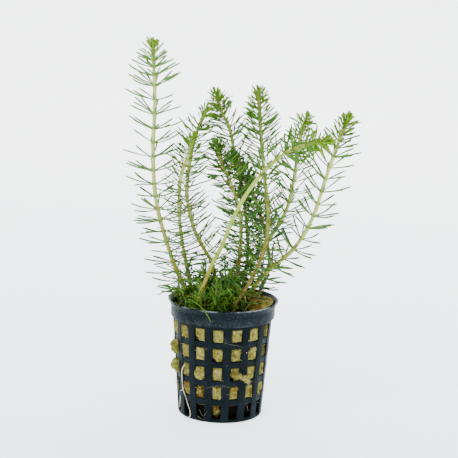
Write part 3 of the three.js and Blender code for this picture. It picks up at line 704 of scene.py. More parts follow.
def pot_ring(radius, height, outside):
    """The points round the pot at a radius and height. The outside is rounded at each window, and
    its rings lie a little deeper between the ribs."""
    reach = max(radius, BASE_RADIUS)
    at = np.tile(station_offsets(reach) / reach, COLUMNS)
    azimuth = np.repeat(FRONT_COLUMN + PITCH * np.arange(COLUMNS), STATIONS) + at
    out = radius
    if outside and FIRST_WINDOW <= height < RIM_BOTTOM:
        beyond = np.abs(at) * radius - window_half(radius)
        row = min(int((height - FIRST_WINDOW) / ROW_PITCH), ROWS - 1)
        sill = FIRST_WINDOW + row * ROW_PITCH
        next_sill = math.inf if row + 1 == ROWS else sill + ROW_PITCH
        between = max(min(height - sill - WINDOW_HEIGHT, next_sill - height), 0)
        short = np.clip(1 - np.hypot(np.maximum(beyond, 0), between) / EDGE_ROUNDING, 0, 1)
        out = out - EDGE_ROUNDING * (1 - np.sqrt(1 - short**2))
        if row + 1 < ROWS:
            out = out - RING_RECESS * ease(-beyond, 0, 0.36 * MM)
    return polar(azimuth, out, height)


def pot_piece(material):
    """One closed skin: up the outside, over the lip and down the inside, with small walls between
    the two round each window and each slot of the floor."""
    outside, lip, inside, openings = pot_profile()
    rings = [pot_ring(r, z, True) for r, z in outside]
    rings += [pot_ring(r, z, False) for r, z in lip + inside[::-1]]
    points = np.concatenate([*rings, np.array([[0, 0, 0], [0, 0, FLOOR]])])
    count = COLUMNS * STATIONS
    last = len(rings) - 1
    keep = np.ones((last, count), bool)
    walls = []
    for low, low_in in openings:
        high, inner_low, inner_high = low + 1, last - low_in, last - low_in - 1
        for start in range(0, count, STATIONS if low else 2 * STATIONS):
            end = start + WINDOW_CELLS
            keep[[low, inner_high], start:end] = False
            for c in range(start, end):
                walls.append(((low, c), (low, c + 1), (inner_low, c + 1), (inner_low, c)))
                walls.append(((high, c + 1), (high, c), (inner_high, c), (inner_high, c + 1)))
            walls.append(((low, end), (high, end), (inner_high, end), (inner_low, end)))
            walls.append(((high, start), (low, start), (inner_low, start), (inner_high, start)))
    faces = ring_faces(len(rings), count).reshape(last, count, 4)[keep].tolist()
    faces += [[ring * count + station for ring, station in wall] for wall in walls]
    centre = len(rings) * count
    for c in range(count):
        after = (c + 1) % count
        faces += [[c, centre, after], [last * count + c, last * count + after, centre + 1]]

    height = points[:, 2]
    # Where the pale wear and the painted highlight go: the lip's edge, and faintly the rim's lower edge
    lip_wear_and_highlight = ease(height, POT_HEIGHT - 0.5 * MM, POT_HEIGHT - 0.2 * MM)
    rim_wear_and_highlight = 0.1 * ease(-np.abs(height - RIM_BOTTOM - 0.2 * MM), -0.5 * MM, 0)
    band = ease(height, RIM_BOTTOM - 0.1 * MM, RIM_BOTTOM + 0.2 * MM)
    # The inside faces of the wall and the top of the floor, where the pot is painted darker as painted shade
    inner = from_axis(points) < wall_radius(height) - 0.5 * WALL
    inner = inner & (height > 0.5 * FLOOR) & (height < RIM_BOTTOM)
    return make_piece("net_pot_finished", points, faces, material, "pot_plastic",
                      edge=np.maximum(lip_wear_and_highlight, rim_wear_and_highlight), band=0.25 + 0.75 * band, inner=inner * 1.0)


# Rock wool

def wool_top(x, y):
    return WOOL_LOW_TOP + WOOL_TOP_RISE * ease(0.9 * x + 0.4 * y, -7 * MM, 15 * MM)


def on_wall(route):
    """Points from azimuths in degrees, heights and distances out from the wall."""
    azimuth, height, out = np.array(route, float).T
    return polar(np.radians(azimuth), wall_radius(height * MM) + out * MM, height * MM)


def inside_window(azimuth, radius, height):
    """How far a place of the wall is inside its window, or less than 0 outside; where it is from the
    window's middle, across and up; and which window it is."""
    column = np.round((azimuth - FRONT_COLUMN) / PITCH)
    across = (azimuth - FRONT_COLUMN - column * PITCH) * radius
    ring_middle = FIRST_WINDOW - (ROW_PITCH - WINDOW_HEIGHT) / 2
    row = np.clip(np.floor((height - ring_middle) / ROW_PITCH), 0, ROWS - 1)
    upright = height - FIRST_WINDOW - row * ROW_PITCH - WINDOW_HEIGHT / 2
    room = np.minimum(window_half(radius) - np.abs(across), WINDOW_HEIGHT / 2 - np.abs(upright))
    return room, across, upright, ((column % COLUMNS) * ROWS + row).astype(int)


def wool_side(azimuth, height, uneven):
    """The plug's side: just inside the wall, and pushed out into each window, but for the corners
    that it doesn't reach. Also how far each place is inside the wool that fills a window."""
    wall = wall_radius(height)
    half = window_half(wall)
    room, across, upright, window = inside_window(azimuth, wall, height)
    luck = np.random.default_rng(SEED + 1).random((7, COLUMNS * ROWS))[:, window]
    bite = np.where(luck[0] < BITTEN_SHARE, SMALLEST_BITE + BITE_RANGE * luck[1], 0)
    corner_across = np.sign(luck[2] - 0.5) * half
    corner_up = np.sign(luck[3] - BITTEN_BELOW) * WINDOW_HEIGHT / 2
    room = np.minimum(room, np.hypot(across - corner_across, upright - corner_up) - bite)
    room = room - WOOL_EDGE_ROUGHNESS * uneven
    tilt = PUSH_TILT * ((luck[5] - 0.5) * across / half + (luck[6] - 0.5) * upright / WINDOW_HEIGHT)
    push = np.clip(0.5 + 0.6 * luck[4] + tilt, *PUSH_LIMITS)
    dome = np.sqrt(1 - np.clip(1 - room / WOOL_EDGE_ROUNDING, 0, 1) ** 2)
    return wall - WALL - WOOL_GAP + (WALL + WOOL_GAP) * push * np.where(room > 0, dome, 0), room


def wool_in_rim(azimuth, height):
    """The plug's radius above the windows, where it widens to the lip, but for a gap at the right."""
    inner_wall = WALL_TOP_RADIUS - WALL - WOOL_GAP
    wider = 0.7 * ease(height, RIM_BOTTOM + 1.2 * MM, RIM_BOTTOM + 2.5 * MM)
    wider = wider + ease(height, RIM_TOP - 1.5 * MM, RIM_TOP + 2 * MM)
    gap = np.exp(-((azimuth - RIM_GAP_AT) / RIM_GAP_WIDTH) ** 2)
    gap = gap * ease(height, RIM_BOTTOM + 1.5 * MM, RIM_BOTTOM + 3.5 * MM)
    return inner_wall + wider * MM - RIM_GAP_DEPTH * gap


def window_values(key, power, most, chosen):
    """A number for each window: the chosen ones, and the rest by chance, up to most."""
    values = np.random.default_rng(SEED + key).random(COLUMNS * ROWS) ** power * most
    for (column, row), value in chosen.items():
        values[(column % COLUMNS) * ROWS + row] = value
    return values


def plug_foot(azimuth):
    radius = wall_radius(WOOL_FOOT) - WALL - WOOL_GAP
    points = polar(azimuth, np.linspace(0.05, 0.95, 10)[:, None] * radius, WOOL_FOOT).reshape(-1, 3)
    points[:, 2] -= (0.9 * np.abs(rough(points, 4 * MM, 5)) + 0.4 * rough(points, 1.2 * MM, 6)) * MM
    # The plug's underside is stained and darkened with painted shade
    dark = np.full(len(points), 0.6)
    return points, dark + 0.3, dark, 0 * dark


def plug_side(azimuth):
    edge = polar(azimuth, WOOL_TOP_RADIUS, 0.0)
    low = WOOL_FOOT + 0.3 * MM
    rise = wool_top(edge[:, 0], edge[:, 1]) - 0.6 * MM - low
    height = low + np.linspace(0, 1, WOOL_LEVELS)[:, None] * rise
    around = np.broadcast_to(azimuth, height.shape)
    wall = wall_radius(height)
    start = polar(around, wall, height).reshape(-1, 3)
    grain, lumps, blots = (rough(start, size * MM, key).reshape(height.shape)
                           for size, key in ((1.0, 1), (2.4, 2), (2.6, 8)))
    radius, room = wool_side(around, height, np.clip(0.5 + grain, 0, 1.4))
    filled = ease(room, 0, 0.5 * MM)
    radius = radius + filled * (0.17 * grain + 0.26 * lumps) * MM
    above = ease(height, RIM_BOTTOM - 0.9 * MM, RIM_BOTTOM - 0.5 * MM)
    radius = radius * (1 - above) + wool_in_rim(around, height) * above
    window = inside_window(around, wall, height)[3]
    stain = window_values(2, 3, 0.6, WINDOW_STAINS)[window]
    stain = stain * ease(blots + 0.45 * stain, -0.35, 0.15)
    # Painted shade: in the wool's hollows, behind the ribs at each window's edge, and more in the windows
    # given shades
    shade = window_values(3, 2, 0.45, WINDOW_SHADES)[window]
    hollow = np.clip(-0.55 * grain - 0.35 * lumps, 0, 0.6) + 0.9 * (1 - ease(room, -0.15 * MM, 0.2 * MM))
    hollow = hollow + shade * ease(shade - lumps - 0.5 * grain, -0.5, 0.3)
    loose = filled * (1 - above)
    return polar(around, radius, height).reshape(-1, 3), stain.ravel(), hollow.ravel(), loose.ravel()


def plug_top(azimuth, radius):
    shares = np.repeat(np.linspace(0.975, 0.01, WOOL_TOP_RINGS), WOOL_STATIONS)
    points = polar(np.tile(azimuth, WOOL_TOP_RINGS), shares * np.tile(radius, WOOL_TOP_RINGS), 0.0)
    lumps, grain = rough(points, 4.5 * MM, 3), rough(points, 1.3 * MM, 4)
    uneven = (1 - shares**10) * (1.3 * lumps + 0.5 * grain) * MM
    points[:, 2] = wool_top(points[:, 0], points[:, 1]) - 0.6 * MM * shares**8 + uneven
    leftward = -points[:, 0] - 0.1 * points[:, 1]
    stain = ease(lumps, -0.9, -0.2) * ease(leftward, -17.5 * MM, -14.5 * MM)
    # Painted shade in the top's hollows and, darker, under the mat at the left
    under_mat = ease(leftward, -12.5 * MM, -9.5 * MM)
    hollow = np.clip(np.clip(-0.5 * grain, 0, 0.35) + 0.85 * under_mat, 0, 0.92)
    return points, stain, hollow, np.full(len(points), 0.8)


def plug_surface():
    """The plug's points in rings from the middle of its foot to the middle of its top, and for each
    point how stained it is, how dark its painted shade is, and how freely its fibres show."""
    azimuth = np.linspace(-math.pi, math.pi, WOOL_STATIONS, endpoint=False)
    side = plug_side(azimuth)
    top = plug_top(azimuth, from_axis(side[0][-WOOL_STATIONS:]))
    columns = zip(plug_foot(azimuth), side, top)
    points, stain, hollow, loose = (np.concatenate(column) for column in columns)
    return points, np.clip(stain, 0, 1), np.clip(hollow, 0, 1), loose


def plug_piece(material):
    points, stain, hollow, loose = plug_surface()
    faces = closed_faces(len(points) // WOOL_STATIONS, WOOL_STATIONS)
    piece = make_piece("rock_wool_plug", points, faces, material, "rock_wool", stain=stain, hollow=hollow)
    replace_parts(piece, "rock_wool")
    return points, loose


BALL_RINGS = 18
BALL_SIDES = 24


def balls(count):
    """The points of a ball of radius 1, and the faces of count of them."""
    down = np.linspace(0, math.pi, BALL_RINGS + 2)[1:-1][::-1, None]
    turn = np.linspace(0, 2 * math.pi, BALL_SIDES, endpoint=False)
    around = [np.sin(down) * np.cos(turn), np.sin(down) * np.sin(turn), np.cos(down)]
    points = np.stack(np.broadcast_arrays(*around), -1).reshape(-1, 3)
    return points, repeated(closed_faces(BALL_RINGS, BALL_SIDES), len(points), count)


def foot_piece(material):
    """The ragged foot of the plug, just inside the lowest windows, stained and painted near-black as painted
    shade.
    """
    azimuth = np.linspace(-math.pi, math.pi, FOOT_SIDES, endpoint=False)
    heights = np.linspace(FLOOR + 0.05 * MM, WOOL_FOOT + 0.6 * MM, FOOT_RINGS)[:, None]
    start = polar(azimuth, FOOT_RADIUS, heights).reshape(-1, 3)
    ragged = 0.5 * MM * rough(start, 2.5 * MM, 14, 4).reshape(FOOT_RINGS, FOOT_SIDES)
    points = polar(azimuth, FOOT_RADIUS + FOOT_FLARE * (heights - FLOOR) + ragged, heights).reshape(-1, 3)
    # The whole foot takes the stain and the full painted shade
    whole = np.ones(len(points))
    faces = closed_faces(FOOT_RINGS, FOOT_SIDES)
    make_piece("rock_wool_foot", points, faces, material, "rock_wool", stain=whole, hollow=whole)


def window_lump(shape, azimuth, height, size):
    """A ragged lump that swells out of a window, no wider than the window where it is inside it."""
    wall = wall_radius(height * MM)
    local = shape * np.array(size) * MM
    local *= (1 + LUMP_RAGGEDNESS * rough(local, 1.6 * MM, azimuth + height, 4))[:, None]
    local[:, 0] += wall - LUMP_CENTRE_DEPTH
    within = local[:, 0] < wall + 0.15 * MM
    for axis, half in ((1, window_half(wall)), (2, WINDOW_HEIGHT / 2)):
        limit = np.where(within, half - 0.12 * MM, np.inf)
        local[:, axis] = np.clip(local[:, axis], -limit, limit)
    turn = math.radians(azimuth)
    axes = [(math.sin(turn), -math.cos(turn), 0), (math.cos(turn), math.sin(turn), 0), (0, 0, 1)]
    return local @ np.array(axes) + [0, 0, height * MM]


def lumps_piece(material):
    """The lumps that swell out at the left, and the one that stands on the pot's floor."""
    shape, faces = balls(len(LUMPS) + 1)
    foot = shape * FOOT_LUMP_SIZE
    foot = foot * (1 + LUMP_RAGGEDNESS * rough(foot, 2 * MM, 9, 4))[:, None] + FOOT_LUMP_PLACE
    points = np.concatenate([*(window_lump(shape, *lump) for lump in LUMPS), foot])
    points[:, 2] = np.maximum(points[:, 2], FLOOR + 0.02 * MM)
    stain = np.repeat(LUMP_STAINS, len(shape)) * ease(rough(points, 3 * MM, 11), -0.6, 0.1)
    # Painted shade: the listed shades, darker low down near the floor, and in the lumps' hollows
    shade = np.repeat(LUMP_SHADES, len(shape)) + 0.5 * (1 - ease(points[:, 2], 2 * MM, 6 * MM))
    make_piece("rock_wool_lumps", points, faces, material, "rock_wool", stain=stain,
               hollow=np.clip(shade - 0.7 * rough(points, 1.0 * MM, 12), 0, 0.9))
    return points[:len(LUMPS) * len(shape)]


def tuft_piece(material):
    """The tuft that has come out of a window and lies over the rib beside it."""
    route = on_wall(TUFT_ROUTE)
    along = np.arange(len(route), dtype=float)
    at = np.linspace(0, len(route) - 1, TUFT_STATIONS)
    centres = curve_through(route, along, at)
    points, faces = tubes(centres[None], np.interp(at, along, TUFT_RADII)[None], TUFT_SIDES)
    out = unit(points * [1, 1, 0])
    away = points - centres[np.abs(points[:, None] - centres[None]).sum(-1).argmin(1)]
    points += unit(away) * (0.3 * rough(points, 1.0 * MM, 21, 4) * MM)[:, None]
    wall = wall_radius(points[:, 2])
    depth = wall + 0.05 * MM - from_axis(points)
    outside = inside_window(np.arctan2(points[:, 0], -points[:, 1]), wall, points[:, 2])[0] < 0.3 * MM
    points += out * np.where(outside & (depth < 1.2 * MM), np.maximum(depth, 0), 0)[:, None]
    # Painted shade in the tuft's hollows
    make_piece("rock_wool_tuft", points, faces, material, "rock_wool", stain=0 * depth,
               hollow=np.clip(-0.8 * rough(points, 0.9 * MM, 22), 0, 0.6))
    return points


def fibres_piece(material, places, upward):
    """Loose fibres, one from each place, that stand up off the wool or outwards."""
    count = len(places)
    normal = np.where(upward[:, None], UP, unit(places * [1, 1, 0]))
    start_way = unit(rng.normal(size=(count, 3)) + 0.35 * normal)
    start_way += normal * np.maximum(0.12 - (start_way * normal).sum(1, keepdims=True), 0)
    end_way = unit(start_way + 0.7 * rng.normal(size=(count, 3)) + 0.15 * normal)
    end_way += normal * np.maximum(-0.05 - (end_way * normal).sum(1, keepdims=True), 0)
    length = rng.uniform(*FIBRE_LENGTHS, (count, 1)) * MM
    t = np.linspace(0, 1, len(FIBRE_TAPER))[None, :, None]
    bend = start_way[:, None] * (t - t**2 / 2) + end_way[:, None] * t**2 / 2
    centres = places[:, None] - 0.05 * MM * normal[:, None] + bend * length[:, None]
    radii = rng.uniform(*FIBRE_RADII, (count, 1)) * MM * FIBRE_TAPER
    points, faces = tubes(centres, radii, FIBRE_SIDES)
    make_piece("rock_wool_fibres", points, faces, material, "rock_wool", smooth=False,
               luck=np.repeat(rng.random(count), len(points) // count))


def wool_pieces():
    """The plug with its foot, lumps and tuft, and the fibres that stand off it."""
    wool = wool_material()
    places, loose = plug_piece(wool)
    foot_piece(wool)
    lump_places = lumps_piece(wool)
    tuft_places = tuft_piece(wool)
    high = places[:, 2] > WOOL_LOW_TOP - 1 * MM
    low_loose, high_loose = loose * ~high, loose * high
    in_windows = rng.choice(len(places), WINDOW_FIBRES, p=low_loose / low_loose.sum())
    on_top = rng.choice(len(places), TOP_FIBRES, p=high_loose / high_loose.sum())
    extra = np.concatenate([lump_places[rng.choice(len(lump_places), LUMP_FIBRES)],
                            tuft_places[rng.choice(len(tuft_places), TUFT_FIBRES)]])
    extra = extra[from_axis(extra) > wall_radius(extra[:, 2])]
    starts = np.concatenate([places[in_windows], places[on_top], extra])
    upward = np.repeat([False, True, False], [WINDOW_FIBRES, TOP_FIBRES, len(extra)])
    fibres_piece(fibre_material(), starts, upward)


# Leaves and stems

LEAF_STATIONS = np.array([0.0, 0.1, 0.22, 0.34, 0.46, 0.58, 0.7, 0.81, 0.9, 0.965])
LEAF_OUTLINE = np.array([0.66, 0.60, 0.62, 0.70, 0.80, 0.92, 1.0, 0.98, 0.80, 0.42])
ACROSS = np.array([-1, -0.5, 0, 0.5, 1, 0])
LIFT = np.array([0.10, 0.62, 0.30, 0.62, 0.10, -0.5])
FOLD = 0.14
LEAF_THICKNESS = 0.56 * MM
LEAF_ROLL = 0.4
LEAF_TWIST = 0.2


def leaf_surfaces(roots, tips, ups, widths, arches, rolls, twists, droops):
    """Closed leaf blades from root to tip. ups is each stem's direction, towards which a leaf
    bulges by its arch. A blade is turned by its roll where it leaves its stalk, and by its twist
    more at its end. droops is how far a leaf's end hangs, as a share of its length."""
    chord = tips - roots
    length = np.linalg.norm(chord, axis=1, keepdims=True)
    ahead = chord / length
    sides = unit(np.cross(ahead, ups))
    lifts = np.cross(sides, ahead)
    t = LEAF_STATIONS[None, :, None]
    arch = (arches[:, None] * length)[:, None]
    droop = (droops[:, None] * length)[:, None]
    centre = roots[:, None] + chord[:, None] * t + lifts[:, None] * arch * 4 * t * (1 - t)
    centre = centre - UP * droop * np.clip((t - 0.45) / 0.55, 0, 1) ** 1.6
    bent = unit(np.gradient(centre, axis=1))
    turn = rolls[:, None, None] + twists[:, None, None] * t
    side = sides[:, None] * np.cos(turn) + lifts[:, None] * np.sin(turn)
    side = unit(side - bent * (side * bent).sum(-1, keepdims=True))
    normal = np.cross(side, bent)
    half = 0.5 * widths[:, None] * LEAF_OUTLINE[None]
    thick = np.minimum(LEAF_THICKNESS, 0.66 * widths)[:, None] * (0.4 + 0.6 * LEAF_OUTLINE)[None]
    across = half[:, :, None] * ACROSS
    raised = thick[:, :, None] * LIFT + FOLD * half[:, :, None] * np.abs(ACROSS) * 2
    rings = centre[:, :, None] + side[:, :, None] * across[..., None] + normal[:, :, None] * raised[..., None]
    count, stations, corners = rings.shape[:3]
    end = centre[:, -1] + bent[:, -1] * length * 0.03
    points = np.concatenate([rings.reshape(count, -1, 3), roots[:, None], end[:, None]], 1)
    size = points.shape[1]
    root, tip, last = size - 2, size - 1, size - 2 - corners
    quads = ring_faces(stations, corners)[:, ::-1]
    ends = [(i, (i + 1) % corners, root) for i in range(corners)]
    ends = np.array(ends + [(last + (i + 1) % corners, last + i, tip) for i in range(corners)])
    shift = np.arange(count)[:, None, None] * size
    faces = (quads[None] + shift).reshape(-1, 4).tolist() + (ends[None] + shift).reshape(-1, 3).tolist()
    share = np.concatenate([np.repeat(LEAF_STATIONS, corners), [0, 1]])
    middle = np.concatenate([np.tile(np.abs(ACROSS), stations), [0, 0]])
    return points.reshape(-1, 3), faces, np.tile(share, count), np.tile(middle, count), size


class Leaves:
    """Leaves to be made into one piece."""

    def __init__(self):
        self.rows = []

    def add(self, roots, tips, ups, ages, widths, arches, droops, dry=0.0):
        columns = [np.broadcast_to(value, len(roots)) for value in (ages, widths, arches, droops, dry)]
        self.rows.append(np.column_stack([roots, tips, np.broadcast_to(ups, roots.shape), *columns]))

    def piece(self, name, material, shade):
        """The piece. shade is how much painted shade may darken its darkest leaf beyond the rest."""
        rows = np.concatenate(self.rows)
        count = len(rows)
        ages, widths, arches, droops, dry = rows[:, 9:].T
        rolls = np.clip(rng.normal(0, LEAF_ROLL, count), -2 * LEAF_ROLL, 2 * LEAF_ROLL)
        twists = rng.normal(0, LEAF_TWIST, count)
        points, faces, share, across, size = leaf_surfaces(
            rows[:, :3], rows[:, 3:6], rows[:, 6:9], widths, arches, rolls, twists, droops)
        # Painted shade, darkest low above the wool inside the mouth, and on some leaves at random
        depth = points[:, 2] - wool_top(points[:, 0], points[:, 1])
        deep = 1 - ease(depth, 1.5 * MM, 9.5 * MM)
        deep = deep * (1 - ease(from_axis(points), 21 * MM, 24 * MM))
        shades = shade * rng.random(count) ** 1.5
        ages, lucks, dry, shades = (np.repeat(v, size) for v in (ages, rng.random(count), dry, shades))
        make_piece(name, points, faces, material, "leaf_green", share=share, across=across, age=ages,
                   luck=lucks, dry=dry, deep=1 - (1 - deep) * (1 - shades))


def tubes(centres, radii, sides):
    """Tubes round lines of points, an array of (tube, station, xyz), as one set of points and faces."""
    ahead = unit(np.gradient(centres, axis=1))
    steep = np.abs(ahead[..., 1:2]) > 0.95
    right = unit(np.cross(np.where(steep, [1.0, 0.0, 0.0], [0.0, 1.0, 0.0]), ahead))
    up = np.cross(ahead, right)
    turn = np.linspace(0, 2 * math.pi, sides, endpoint=False)[:, None]
    around = np.cos(turn) * right[:, :, None] + np.sin(turn) * up[:, :, None]
    rings = centres[:, :, None] + radii[:, :, None, None] * around
    count, stations = centres.shape[:2]
    size = stations * sides
    shift = np.arange(count)[:, None, None] * size
    walls = (ring_faces(stations, sides)[None] + shift).reshape(-1, 4).tolist()
    caps = np.array([np.arange(sides)[::-1], np.arange(size - sides, size)])
    return rings.reshape(-1, 3), walls + (caps[None] + shift).reshape(-1, sides).tolist()


def stem_piece(stem, skins):
    at = np.append(np.arange(0, stem.length, STEM_STEP), stem.length)
    centres = curve_through(stem.centres, stem.along, at)
    radii = np.interp(at, stem.along, stem.radii) * stem.thick
    joints = np.unique(np.round(stem.places, 5))
    nearest = np.abs(at[:, None] - joints[None]).min(1)
    joint = np.exp(-(nearest / JOINT_WIDTH) ** 2)
    radii = radii * (1 + JOINT_SWELL * joint) * (1 + STEM_SWELL * np.sin(at / STEM_WAVE))
    points, faces = tubes(centres[None], radii[None], STEM_SIDES)
    piece = make_piece(stem.name + "_skin", points, faces, skins[stem.skin],
                       SKIN_SLOTS.get(stem.skin, USUAL_SLOT), joint=np.repeat(0.75 * joint, STEM_SIDES),
                       age=np.repeat(1 - at / stem.length, STEM_SIDES))
    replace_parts(piece, stem.name)


def round_stem(up, turns):
    """Directions square to up, at the angles turns round it."""
    side = unit(np.cross(up, [0.3, 1.0, 0.1]))
    return np.cos(turns)[:, None] * side + np.sin(turns)[:, None] * np.cross(up, side)


def leaning(up, around, angles):
    """Directions that lean from up by the angles."""
    return around * np.sin(angles)[:, None] + up * np.cos(angles)[:, None]


def add_bud(leaves, stem):
    """The young leaves that crowd at a stem's tip, the outer ones longer and more open."""
    count, longest, width, spread, reach = stem.bud
    tip = stem.centres[-1]
    up = stem_direction(stem, np.array([stem.length]))[0]
    t = np.linspace(0, 1, count)
    around = round_stem(up, BUD_TURN * np.arange(count) + rng.normal(0, 0.2, count))
    angles = np.radians(6 + (spread - 6) * t + rng.normal(0, 5, count))
    ways = leaning(up, around, angles)
    roots = tip - up * (reach * MM * t)[:, None] + (0.1 + 0.3 * t)[:, None] * MM * around
    tips = roots + ways * (longest * (0.45 + 0.55 * t) * rng.uniform(0.8, 1.15, count) * MM)[:, None]
    ages = np.maximum(0.01 + 0.07 * t, stem.youngest[1])
    widths = width * rng.uniform(0.85, 1.15, count) * MM
    leaves.add(roots, tips, up, ages, widths, rng.normal(0.03, 0.03, count), 0.0)


def more_leaves(stem):
    """Leaves between the ones of the solid: their roots, tips and places. Where they are many, they
    make whorls of their own halfway to the next ones."""
    share = stem.more
    least, *crowded = stem.crowd
    count = int(share * len(stem.roots))
    chances = least + ease(stem.places / stem.length, *crowded)
    chosen = rng.choice(len(stem.roots), count, p=chances / chances.sum())
    joints = np.unique(np.round(stem.places, 5))
    gaps = np.interp(stem.places[chosen], joints[:-1], np.diff(joints))
    places = stem.places[chosen] + (0.5 * gaps if share > CLOSE_WHORLS else 0)
    places = np.minimum(places, stem.length - 1 * MM)
    ups = stem_direction(stem, places)
    chord = stem.tips[chosen] - stem.roots[chosen]
    turns = rng.uniform(0.4, 2 * math.pi - 0.4, count)[:, None]
    turned = chord * np.cos(turns) + np.cross(ups, chord) * np.sin(turns)
    turned += ups * (ups * chord).sum(1, keepdims=True) * (1 - np.cos(turns))
    middles = curve_through(stem.centres, stem.along, places)
    roots = middles + unit(turned - ups * (ups * turned).sum(1, keepdims=True)) * 0.4 * MM
    tips = roots + turned * rng.uniform(0.8, 1.0, (count, 1))
    good = clear_of_pot(roots, tips)
    return roots[good], tips[good], places[good]


def leaves_of_stem(stem, material):
    """A leaf on each leaf of the solid, more between them, and the bud."""
    own = stem.roots, stem.tips, stem.places
    roots, tips, places = (np.concatenate(pair) for pair in zip(own, more_leaves(stem)))
    count = len(roots)
    length = np.linalg.norm(tips - roots, axis=1)
    far = stem.length - places
    widths = stem.leaf * MM * (0.65 + 0.35 * ease(length, 3 * MM, 9 * MM)) * rng.uniform(0.8, 1.15, count)
    arches = rng.normal(-0.01, 0.02, count)
    kinked = rng.random(count) < 0.05 * ease(far, 25 * MM, 50 * MM)
    droops = np.where(kinked, rng.uniform(0.12, 0.3, count), rng.normal(-0.04, 0.035, count))
    dry = (rng.random(count) < DRY_SHARE) * 1.0
    ages = np.clip(far / LEAF_COLOUR_LENGTH, stem.youngest[0], 1)
    leaves = Leaves()
    leaves.add(roots, tips, stem_direction(stem, places), ages, widths, arches, droops, dry)
    add_bud(leaves, stem)
    leaves.piece(stem.name + "_leaves", material, stem.shade)


# The mat of small shoots and grassy leaves that covers the left of the pot's mouth

def mat_feet():
    """Places for the mat's small shoots, spread evenly over the left two thirds of the mouth."""
    feet = []
    while len(feet) < MAT_SHOOTS:
        x, y = rng.uniform(*MAT_ACROSS), rng.uniform(*MAT_BACK)
        if math.hypot(x, y) > MAT_RADIUS or x > 8 - 0.25 * y - 4 * rng.random():
            continue
        if all(math.hypot(x - a, y - b) > MAT_SPACING for a, b in feet):
            feet.append((x, y))
    return np.array(feet) * MM


def clear_of_pot(roots, tips):
    """Which leaves keep inside the mouth or pass over the lip."""
    clear = np.ones(len(roots), bool)
    for share in CLEAR_AT:
        x, y, z = (roots + (tips - roots) * share).T
        over_lip = np.hypot(x, y) > MOUTH_RADIUS
        clear &= z > np.where(over_lip, POT_HEIGHT + LIP_CLEARANCE, wool_top(x, y) + WOOL_CLEARANCE)
    return clear


def add_mat_leaves(leaves, roots, tips, up, *details):
    """Adds the leaves that keep clear of the pot and of the bare wool at the right."""
    good = clear_of_pot(roots, tips) & (tips[:, 0] < MAT_END)
    if good.any():
        details = [np.broadcast_to(value, len(good))[good] for value in details]
        leaves.add(roots[good], tips[good], up, *details, (rng.random(good.sum()) < MAT_DRY_SHARE) * 1.0)


def mat_shoot(leaves, x, y):
    """Adds the leaves of a small shoot that stands at x and y, and gives its stem's line."""
    foot = np.array([x, y, wool_top(x, y) - 0.5 * MM])
    up = unit(np.array([x / (60 * MM), y / (60 * MM), 1]) + np.append(rng.normal(0, 0.5, 2), 0))
    tall = rng.uniform(*MAT_HEIGHTS) * MM
    sag = np.append(rng.normal(0, 0.12, 2), -0.12) * tall
    at, turn = 2.0 * MM, rng.uniform(0, 6)
    while at < tall:
        open_ = ease(tall - at, 0, 4 * MM)
        count = rng.integers(3, 7)
        angles = np.radians(25 + 45 * open_ + rng.normal(0, 32, count))
        lengths = rng.uniform(0.7, 1.5, count) * (4.5 + 4.5 * open_) * MM
        even = turn + 2 * math.pi * np.arange(count) / count
        around = round_stem(up, even + rng.normal(0, 0.6, count))
        roots = foot + up * at + sag * (at / tall) ** 2 + 0.2 * MM * around
        tips = roots + leaning(up, around, angles) * lengths[:, None]
        ages = np.clip(0.2 + (tall - at) / (12 * MM), 0.2, 1) * rng.uniform(0.6, 1.3, count)
        widths = rng.uniform(*MAT_LEAF_WIDTHS, count) * MM
        arches = rng.normal(0.05, 0.09, count)
        add_mat_leaves(leaves, roots, tips, up, ages, widths, arches, rng.uniform(-0.05, 0.3, count))
        at += rng.uniform(*MAT_WHORL_GAPS) * MM
        turn += 0.5
    t = np.linspace(0, 1, MAT_STATIONS)[:, None]
    return foot + up * tall * t + sag * t**2


def mat_grass(leaves):
    """Adds grassy leaves that stand on the wool between the shoots."""
    count = MAT_GRASS
    radius = GRASS_RADIUS * np.sqrt(rng.random(count))
    around = rng.uniform(0, 2 * math.pi, count)
    x = radius * np.cos(around) * 0.85 - 4.5 * MM
    y = radius * np.sin(around) * 0.9
    roots = np.stack([x, y, wool_top(x, y)], -1)
    turns = rng.uniform(0, 2 * math.pi, count)
    steep = np.radians(rng.uniform(0, 70, count))
    ways = np.stack([np.cos(turns) * np.cos(steep), np.sin(turns) * np.cos(steep), np.sin(steep)], -1)
    roots[:, 2] += rng.uniform(0, GRASS_HIGHEST, count) * MM
    tips = roots + ways * rng.uniform(*GRASS_LENGTHS, (count, 1)) * MM
    ages = rng.uniform(0.1, 1, count) ** 0.6
    widths = rng.uniform(*GRASS_WIDTHS, count) * MM
    arches = rng.uniform(0.02, 0.25, count)
    add_mat_leaves(leaves, roots, tips, UP, ages, widths, arches, rng.uniform(0, 0.3, count))


def mat_pieces(leaf, green):
    leaves = Leaves()
    stems = np.array([mat_shoot(leaves, x, y) for x, y in mat_feet()])
    mat_grass(leaves)
    roots, tips, bows, widths = (np.array(column) for column in zip(*LONG_LEAVES))
    leaves.add(roots * MM, tips * MM, UP, LONG_LEAF_AGE, widths * MM, bows, 0.0)
    leaves.piece("mat_leaves", leaf, MAT_SHADE)
    radii = np.tile(np.linspace(0.42, 0.25, MAT_STATIONS) * MM, (len(stems), 1))
    points, faces = tubes(stems, radii, MAT_STEM_SIDES)
    age = np.tile(np.repeat(np.linspace(0.5, 0, MAT_STATIONS), MAT_STEM_SIDES), len(stems))
    make_piece("mat_stems", points, faces, green, "leaf_green", age=age, joint=0 * age)


# Roots and specks outside the pot

def smooth_route(route, stations):
    """Points evenly along a smooth curve through a route on the wall."""
    points = on_wall(route)
    along = distances(points)
    return curve_through(points, along, np.linspace(0, along[-1], stations))


